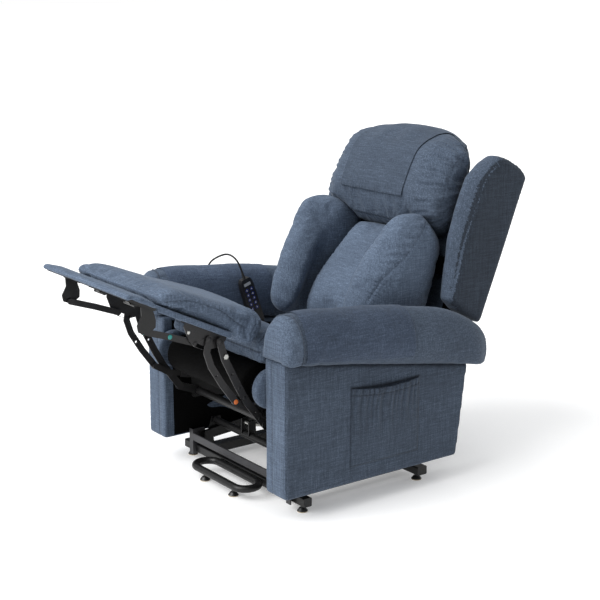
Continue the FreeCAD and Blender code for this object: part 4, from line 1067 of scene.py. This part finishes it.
def head_fill(x, u, v):
    """stuffing: fuller in front between the side seams, rounded off behind and at its top corners"""
    ax = np.abs(x)
    rear = ([230, 250, 436, 446, 470, 520, 556, 576, 580], [160, 54, 52, 20, 8, 6, 18, 55, 105])
    front = [238, 256, 320, 400, 470, 530, 566, 580], [248, 268, 276, 262, 238, 205, 160, 105]
    vr, vo = np.interp(u, *rear), np.interp(u, *front)
    t = np.clip(0.5 + (v - 0.5 * (vo + vr)) / np.maximum(vo - vr, 16), -0.04, 1.04)
    top = np.interp(ax, [110, 150, 180, 220, 250, 275], [580, 577, 572, 560, 546, 530])
    u = np.where(u > 470, 470 + (u - 470) * (top - 470) / 110.0, u)
    vr, vo = np.interp(u, *rear), np.interp(u, *front)
    vn = np.interp(u, [238, 256, 320, 400, 470, 530, 566, 580], [252, 278, 301, 300, 294, 262, 198, 118])
    c = np.clip((272 - ax) / 85.0, 0, 1)
    vn = vo + (vn - vo) * c * c * (3 - 2 * c)
    lo = np.maximum(vr, 6 + 0.35 * np.maximum(0, ax - 60) + 0.62 * np.maximum(0, ax - 125) + np.maximum(0, u - 480) * 0.55 * np.clip((ax - 50) / 120.0, 0.12, 1))
    lo = np.minimum(lo, vn - 9)
    v2 = lo + t * (vn - lo)
    drop = np.interp(ax, [0, 60, 100, 180, 220, 250, 275], [0, 2, 8, 16, 18, 16, 12]) * np.clip((u - 430) / 110.0, 0, 1) ** 1.5 + 10 * (1 - t) * np.clip((u - 500) / 60.0, 0, 1)
    lift = 15 * np.clip((ax - 130) / 45.0, 0, 1) * np.clip((v2 - 170) / 45.0, 0, 1) * np.clip((305 - u) / 65.0, 0, 1)
    lift = np.maximum(lift, 27 * np.clip((ax - 185) / 60.0, 0, 1) * np.clip((335 - u) / 95.0, 0, 1))
    return x, u - drop + lift, v2
uv_warp(head, head_fill)
HEAD_PROF = [(238, 248), (256, 268), (320, 276), (400, 262), (470, 238), (530, 205), (566, 160), (580, 105), (576, 55), (556, 18), (520, 6)]
head_side = [smooth_line([PB(x, u, v) for u, v in [(268, 205), (290, 226), (340, 236), (400, 234), (460, 226), (505, 208), (535, 184), (546, 160)]], False, 5) for x in (-272, 272)]
head_low = [PB(x, 236, 236) for x in range(-240, 241, 40)]
head = soft(head, 0.0065, 0.006, 4.0, 0.012, 14, pins=[head_low], pin_r=0.009, grow=-0.03)

def head_shape(q, n):
    u = (q[:, 1] - 787.6) * BK_D[0] + (q[:, 2] - 494.0) * BK_D[1]
    v = (q[:, 1] - 787.6) * BK_N[0] + (q[:, 2] - 494.0) * BK_N[1]
    ax = np.abs(q[:, 0])
    side = np.exp(-((ax - 236) / 30.0) ** 2)
    an = np.arctan2(u - 420, v - 80)
    fan = side * (0.6 * np.sin(an * 50 + 2.2 * noise(q / 1000.0, 8.0, 81)) + 0.4 * np.sin(an * 79 + 1.7 * noise(q / 1000.0, 12.0, 85))) * 1.9 * np.clip((v - 60) / 60, 0, 1)
    long_ = np.clip((ax - 140) / 90.0, 0, 1) * np.sin(an * 25 + 2.6 * noise(q / 1000.0, 6.0, 82) + ax / 40.0) * 1.2 * np.clip((v - 60) / 60, 0, 1)
    low = np.exp(-((u - 262) / 24.0) ** 2) * np.sin(q[:, 0] / 11.0 + 2.6 * noise(q / 1000.0, 8.0, 83)) * 0.9
    return 1.5 * fan + 1.4 * long_ + low + 1.6 * noise(q / 1000.0, 4.5, 84)
bump_rows(head, head_shape)
for s_ in head_side:
    seam_and_painted_shade(head, s_, 0.0018, 0.008, 0.0020, 0.0022, 0.019, 0.040, 0.3)
seam_and_painted_shade(head, head_low, 0.003, 0.008, 0.0023, 0.0012, 0.018)
part_of(head, "back", ["head_cushion"])

bu, bn = Vector((0, BK_D[0], BK_D[1])), Vector((0, BK_N[0], BK_N[1]))
O_ = PB(0, 0, 0)
def uv_of(c):
    d = c - O_
    return d.dot(bu) * 1000.0, d.dot(bn) * 1000.0
def cover_wrinkle(co):
    q = to_mm(co.copy())
    u = (q[:, 1] - 787.6) * BK_D[0] + (q[:, 2] - 494.0) * BK_D[1]
    v = (q[:, 1] - 787.6) * BK_N[0] + (q[:, 2] - 494.0) * BK_N[1]
    w = 0.9 * noise(q / 1000.0, 7.0, 91) + 0.4 * noise(q / 1000.0, 20.0, 92)
    lift = 3.0 * np.exp(-((u - 312) / 16.0) ** 2) * (v > 130)
    fold = 2.2 * np.exp(-((q[:, 0] + 92 + (u - 312) * 0.5) / 12.0) ** 2) * np.clip((400 - u) / 80, 0, 1) * (v > 130)
    return (0.9 + np.maximum(-0.6, w * 0.8) + lift + fold) / 1000.0
front_side = lambda c: uv_of(c)[1] > 130
rear_side = lambda c: uv_of(c)[1] <= 130
cov, cov_area = cut_sheet("head_cover_cloth", head, [(P(157, 0, 0), Vector((1, 0, 0)), None), (P(-157, 0, 0), Vector((-1, 0, 0)), None), (PB(0, 312, 0), -bu, None), (PB(0, 0, 64), -bn, rear_side)], F_COVER_SHADE, 0.0014, 0.0012, wrinkle=cover_wrinkle, body="back",
                          keep=lambda c, n: (uv_of(c)[0] > 470 and uv_of(c)[1] > 64) or uv_of(c)[1] > 130)
part_of(cov, "back", ["head_cover"])

mid = from_node("centre_back_pad", "back_cushion", F_BACK_LIT)
mid_seams = [smooth_line([PB(x * k, u, v) for u, x, v in ((-120, 164, 290), (-60, 168, 300), (40, 156, 290), (140, 132, 262), (200, 112, 236))], False, 5) for k in (-1, 1)]
mid = soft(mid, 0.007, 0.004, 4.0, 0.012, 14, pins=mid_seams, pin_r=0.008)
creases(mid, 0.0014, 6.0, 101)
for s_ in mid_seams:
    seam_and_painted_shade(mid, s_, 0.0035, 0.008, 0.0022, 0.0012, 0.02, 0.03)
part_of(mid, "back", ["back_cushion"])

PIL_TAB = [(-168, 186, 258, 150, 352, .42), (-161, 184, 261, 134, 372, .70), (-146, 184, 264, 120, 388, .88), (-118, 184, 267, 106, 402, .98), (-60, 181, 270, 94, 414, 1.0),
           (15, 176, 273, 86, 417, 1.0), (70, 166, 275, 82, 414, 1.0), (125, 156, 276, 82, 405, 1.0), (165, 150, 277, 84, 396, 1.0), (195, 147, 277, 90, 388, .99), (215, 145, 277, 102, 379, .97),
           (230, 145, 276, 124, 370, .94), (242, 147, 274, 146, 358, .89), (252, 150, 271, 168, 344, .81), (260, 155, 267, 188, 328, .69), (266, 162, 262, 208, 310, .54), (270, 172, 254, 226, 292, .34)]
def pillow_mesh():
    vs, fs, n = [], [], 44
    for u, xi, xo, vb, vf, k in PIL_TAB:
        xi += 6
        xm, hx = (xi + xo) / 2.0, (xo - xi) / 2.0 * (0.35 + 0.65 * k)
        vc, hv = (vb + vf) / 2.0, (vf - vb) / 2.0 * (0.45 + 0.55 * k)
        tilt = interp([(-168, .20), (71, .27), (146, .42), (214, .58), (270, .6)], u)
        bul = interp([(-168, 45), (-118, 74), (-60, 78), (12, 66), (71, 46), (146, 16), (200, 0)], u)
        for i in range(n):
            a = 2 * pi * i / n
            ca, sa = cos(a), sin(a)
            x = hx * (abs(ca) ** (0.84 if sa > 0 else 0.64)) * (1 if ca >= 0 else -1)
            v = hv * (abs(sa) ** (0.96 if sa > 0 else 0.80)) * (1 if sa >= 0 else -1)
            w = vc + v + tilt * x * max(0.0, v / hv) + 0.70 * (x + hx) * max(0.0, -v / hv)
            t = min(1.0, max(0.0, (w - 296) / 60.0))
            vs.append(PB(xm + x - bul * t * t * (3 - 2 * t) * (xo - xm - x) / (xo - xi), u, w))
    m = len(PIL_TAB)
    for j in range(m - 1):
        for i in range(n):
            fs.append((j * n + i, j * n + (i + 1) % n, (j + 1) * n + (i + 1) % n, (j + 1) * n + i))
    fs.append(tuple(range(n - 1, -1, -1)))
    fs.append(tuple(range((m - 1) * n, m * n)))
    return new_obj("side_pillow_left", vs, fs, F_BACK_LIT)
pil = pillow_mesh()
pil_out = smooth_line([PB(280, u, v) for u, v in ((264, 248), (240, 262), (197, 286), (117, 318), (38, 370), (-40, 404))], False, 5)
pil_hold = [PB(225, u, 96) for u in range(-120, 200, 20)]
pil = soft(pil, 0.0065, 0.005, 4.0, 0.010, 14, pins=[pil_hold], pin_r=0.012, grow=-0.03, smooth=8)

def pil_shape(q, n):
    u = (q[:, 1] - 787.6) * BK_D[0] + (q[:, 2] - 494.0) * BK_D[1]
    v = (q[:, 1] - 787.6) * BK_N[0] + (q[:, 2] - 494.0) * BK_N[1]
    x = q[:, 0]
    top = np.exp(-((u - 222) / 50.0) ** 2) * np.sin(x / 8.5 + v / 26.0 + 2.4 * noise(q / 1000.0, 8.0, 111)) * 1.2
    # folds that run from the side seam towards the front
    vs = np.interp(u, [-40, 38, 117, 197, 240, 264], [404, 370, 318, 286, 262, 248])
    d = v - vs
    outer = np.clip((x - 215) / 30.0, 0, 1)
    ph = (u + 0.45 * d) / 5.5 + 1.4 * noise(q / 1000.0, 6.0, 112)
    upper = outer * np.exp(-((d - 22) / 26.0) ** 2) * np.clip((u - 60) / 60.0, 0, 1) * np.sin(ph) * 2.2
    soft_ = outer * np.exp(-((u - 45) / 48.0) ** 2) * np.exp(-((d + 4) / 60.0) ** 2) * np.maximum(-0.4, np.sin((u + 0.25 * v) / 9.5 + 0.8 * noise(q / 1000.0, 4.0, 113))) * 1.5
    low = np.exp(-((u + 140) / 40.0) ** 2) * np.sin(x / 7.5 + 2.2 * noise(q / 1000.0, 9.0, 114)) * 1.2
    inner = np.clip((190 - x) / 20.0, 0, 1) * np.clip((v - 300) / 60.0, 0, 1) * np.sin(u / 12.0 + 2.0 * noise(q / 1000.0, 7.0, 116)) * 0.8
    return top + upper + soft_ + low + inner + 1.5 * noise(q / 1000.0, 5.0, 115)
bump_rows(pil, pil_shape)
seam_and_painted_shade(pil, pil_out, 0.0022, 0.006, 0.0017, 0.0024, 0.014, 0.028, 0.5)
pil_r = mirrored(pil, "side_pillow_right")
part_of(pil, "back", ["side_pillows"])
part_of(pil_r, "back")

# ------------------------------------------------------------------ handset details
def flat_x(name, pts, x0, x1, mat, body):
    o = box_prism(name, pts, x0, x1, mat)
    bm_ = o.modifiers.new("b", "BEVEL")
    bm_.width, bm_.segments = 0.0002, 2
    o = applied(o)
    o.data.polygons.foreach_set("use_smooth", [False] * len(o.data.polygons))
    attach(o, body)
    return o
lab = flat_x("handset_label", [hp(14.6, -13.2), hp(14.6, 13.2), hp(25.4, 13.2), hp(25.4, -13.2)], HX1 - 0.85, HX1 - 0.2, LABEL, "chair")
for i in range(10):
    s0, t0 = 40.0 + 17.5 * (i // 2), (-9.5 if i % 2 == 0 else 9.5)
    body = "button_%s_%s_key" % ("abcde"[i // 2], "rear" if i % 2 else "front")
    xk = HX1 + 1.2
    # blue ring printed on the key
    seg = 28
    verts, faces = [], []
    for xx in (xk - 0.15, xk + 0.12):
        for rr in (5.5, 4.5):
            for k in range(seg):
                a = 2 * pi * k / seg
                verts.append(P(xx, *hp(s0 + rr * cos(a), t0 + rr * sin(a))))
    for k in range(seg):
        j = (k + 1) % seg
        faces += [(2 * seg + k, 2 * seg + j, 3 * seg + j, 3 * seg + k), (k, j, 2 * seg + j, 2 * seg + k), (seg + k, 3 * seg + k, 3 * seg + j, seg + j), (k, seg + k, seg + j, j)]
    o = new_obj("key_ring_%02d" % i, verts, faces, KEY_BLUE, False)
    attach(o, body)
    # plain arrow mark
    up = 1 if i % 2 == 0 else -1
    arrow = [hp(s0 - 3.0 * up, t0), hp(s0 + 0.2 * up, t0 + 3.0), hp(s0 + 0.2 * up, t0 + 1.0), hp(s0 + 3.0 * up, t0 + 1.0), hp(s0 + 3.0 * up, t0 - 1.0), hp(s0 + 0.2 * up, t0 - 1.0), hp(s0 + 0.2 * up, t0 - 3.0)]
    o = box_prism("key_mark_%02d" % i, arrow, xk - 0.15, xk + 0.16, KEY_MARK)
    o.data.polygons.foreach_set("use_smooth", [False] * len(o.data.polygons))
    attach(o, body)

# ------------------------------------------------------------------ rivets, bushes and bolts on the linkage
def rivet(name, p, x, r, h, mat, body, hexa=False):
    """domed head standing out from the plate face at x"""
    sx = 1 if x > 0 else -1
    if hexa:
        o = lathe(name, P(x - 0.2 * sx, *p), (sx, 0, 0), [(0, r), (h * 0.8 / 1000, r), (h / 1000, r * 0.86)], mat, 6)
        o.data.polygons.foreach_set("use_smooth", [False] * len(o.data.polygons))
    else:
        prof_ = [(0.0, r), (h * 0.35 / 1000, r), (h * 0.75 / 1000, r * 0.82), (h * 0.95 / 1000, r * 0.5), (h / 1000, r * 0.12)]
        o = lathe(name, P(x - 0.2 * sx, *p), (sx, 0, 0), prof_, mat, 20)
    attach(o, body)
    return o
SAp, SBp, K1p, K2p = (106.0, 245.0), (41.0, 323.0), (32.0, 274.0), (-66.0, 362.0)
O1p, O2p, L1p, E0p = (-122.0, 556.0), (-155.0, 566.0), (-360.0, 618.0), (-198.0, 560.0)
Ap, Bp, Cp, Dp = (120.0, 78.0), (138.2, 88.9), (475.0, 105.0), (550.0, 130.0)
for sx, sd in ((1, "l"), (-1, "r")):
    for nm, p, x, r, h, mt, bd, hx_ in (
            ("k1_bush", K1p, 242.5, .0078, 2.0, BUSH_O, "link_a", False), ("k2_bush", K2p, 236.0, .0075, 2.0, BUSH_O, "link_b", False),
            ("o1_head", O1p, 242.5, .0082, 2.4, STEEL_L, "link_a", False), ("o2_head", O2p, 236.0, .0080, 2.0, STEEL_L, "link_b", False),
            ("bar_bolt", (-104, 508), 242.5, .0088, 4.5, STEEL_B, "link_a", True), ("bar_rivet_a", (-40, 372), 242.5, .0055, 1.6, STEEL_K, "link_a", False),
            ("bar_rivet_b", (-58, 404), 242.5, .0055, 1.6, STEEL_K, "link_a", False), ("bar_rivet_c", (14, 296), 242.5, .0055, 1.6, STEEL_K, "link_a", False),
            ("l1_bush", L1p, 225.1, .0070, 1.6, BUSH_T, "footrest_link", False), ("e0_head", E0p, 230.5, .0062, 1.4, STEEL_L, "footrest_link", False),
            ("bend_bush", (-277, 590), 223.0, .0070, 2.0, BUSH_T, "footrest_link", False),
            ("sa_head", SAp, 249.0, .0120, 0.3, STEEL_L, "crank", False), ("a_nut", Ap, 278.0, .0095, 4.0, STEEL_B, "base", True),
            ("c_nut", Cp, 264.0, .0100, 3.0, STEEL_B, "lift_arms", True), ("b_head", Bp, 249.0, .0085, 2.0, STEEL_L, "lift_link", False)):
        rivet("%s_%s" % (nm, sd), p, x * sx, r, h, mt, bd, hx_)
for i, (s, h) in enumerate(((-96, -24), (-40, -30), (-10, -24))):
    for sx, sd in ((1, "l"), (-1, "r")):
        rivet("bracket_rivet_%d_%s" % (i, sd), lg(s, h), 229.5 * sx, .0060, 1.6, STEEL_B if i == 0 else STEEL_K, "legrest", False)

# ------------------------------------------------------------------ floor, light
me = bpy.data.meshes.new("floor")
me.from_pydata([(-60, -60, 0), (60, -60, 0), (60, 60, 0), (-60, 60, 0)], [], [(0, 1, 2, 3)])
floor = link(bpy.data.objects.new("floor", me))
floor.location = (0, 0, -0.0004)
FM = Mat("floor_pale")
g = FM.noise(FM.mapping((1, 1, 1)), 3.0, 2.0)
FM.l(FM.ramp(g, [(0.3, (0.80, 0.80, 0.80, 1)), (0.7, (0.82, 0.82, 0.82, 1))]), FM.b.inputs["Base Color"])
FM.b.inputs["Emission Color"].default_value = (1.0, 1.0, 1.0, 1.0)
FM.b.inputs["Emission Strength"].default_value = 0.26
FM.b.inputs["Roughness"].default_value = 0.9
FM.b.inputs["Specular IOR Level"].default_value = 0.1
me.materials.append(FM.m)

world = bpy.data.worlds.new("studio")
SCENE.world = world
world.use_nodes = True
wn = world.node_tree
wn.nodes.clear()
wo = wn.nodes.new("ShaderNodeOutputWorld")
b1, b2, ms, lp = wn.nodes.new("ShaderNodeBackground"), wn.nodes.new("ShaderNodeBackground"), wn.nodes.new("ShaderNodeMixShader"), wn.nodes.new("ShaderNodeLightPath")
b1.inputs[0].default_value, b1.inputs[1].default_value = (0.97, 0.985, 1.0, 1), 0.34
b2.inputs[0].default_value, b2.inputs[1].default_value = (1, 1, 1, 1), 1.0
wn.links.new(lp.outputs["Is Camera Ray"], ms.inputs[0])
wn.links.new(b1.outputs[0], ms.inputs[1])
wn.links.new(b2.outputs[0], ms.inputs[2])
wn.links.new(ms.outputs[0], wo.inputs[0])

def sun(name, d, strength, angle, col=(1, 1, 1)):
    l = bpy.data.lights.new(name, "SUN")
    l.energy, l.angle, l.color = strength, radians(angle), col
    o = bpy.data.objects.new(name, l)
    o.rotation_euler = Vector(d).to_track_quat("-Z", "Y").to_euler()
    link(o)
sun("key_top", (0.04, 0.26, -1.0), 1.8, 95)
sun("key_front", (0.14, 1.0, -0.80), 3.0, 50)
SCENE.view_settings.view_transform = "Standard"
SCENE.view_settings.look = "None"
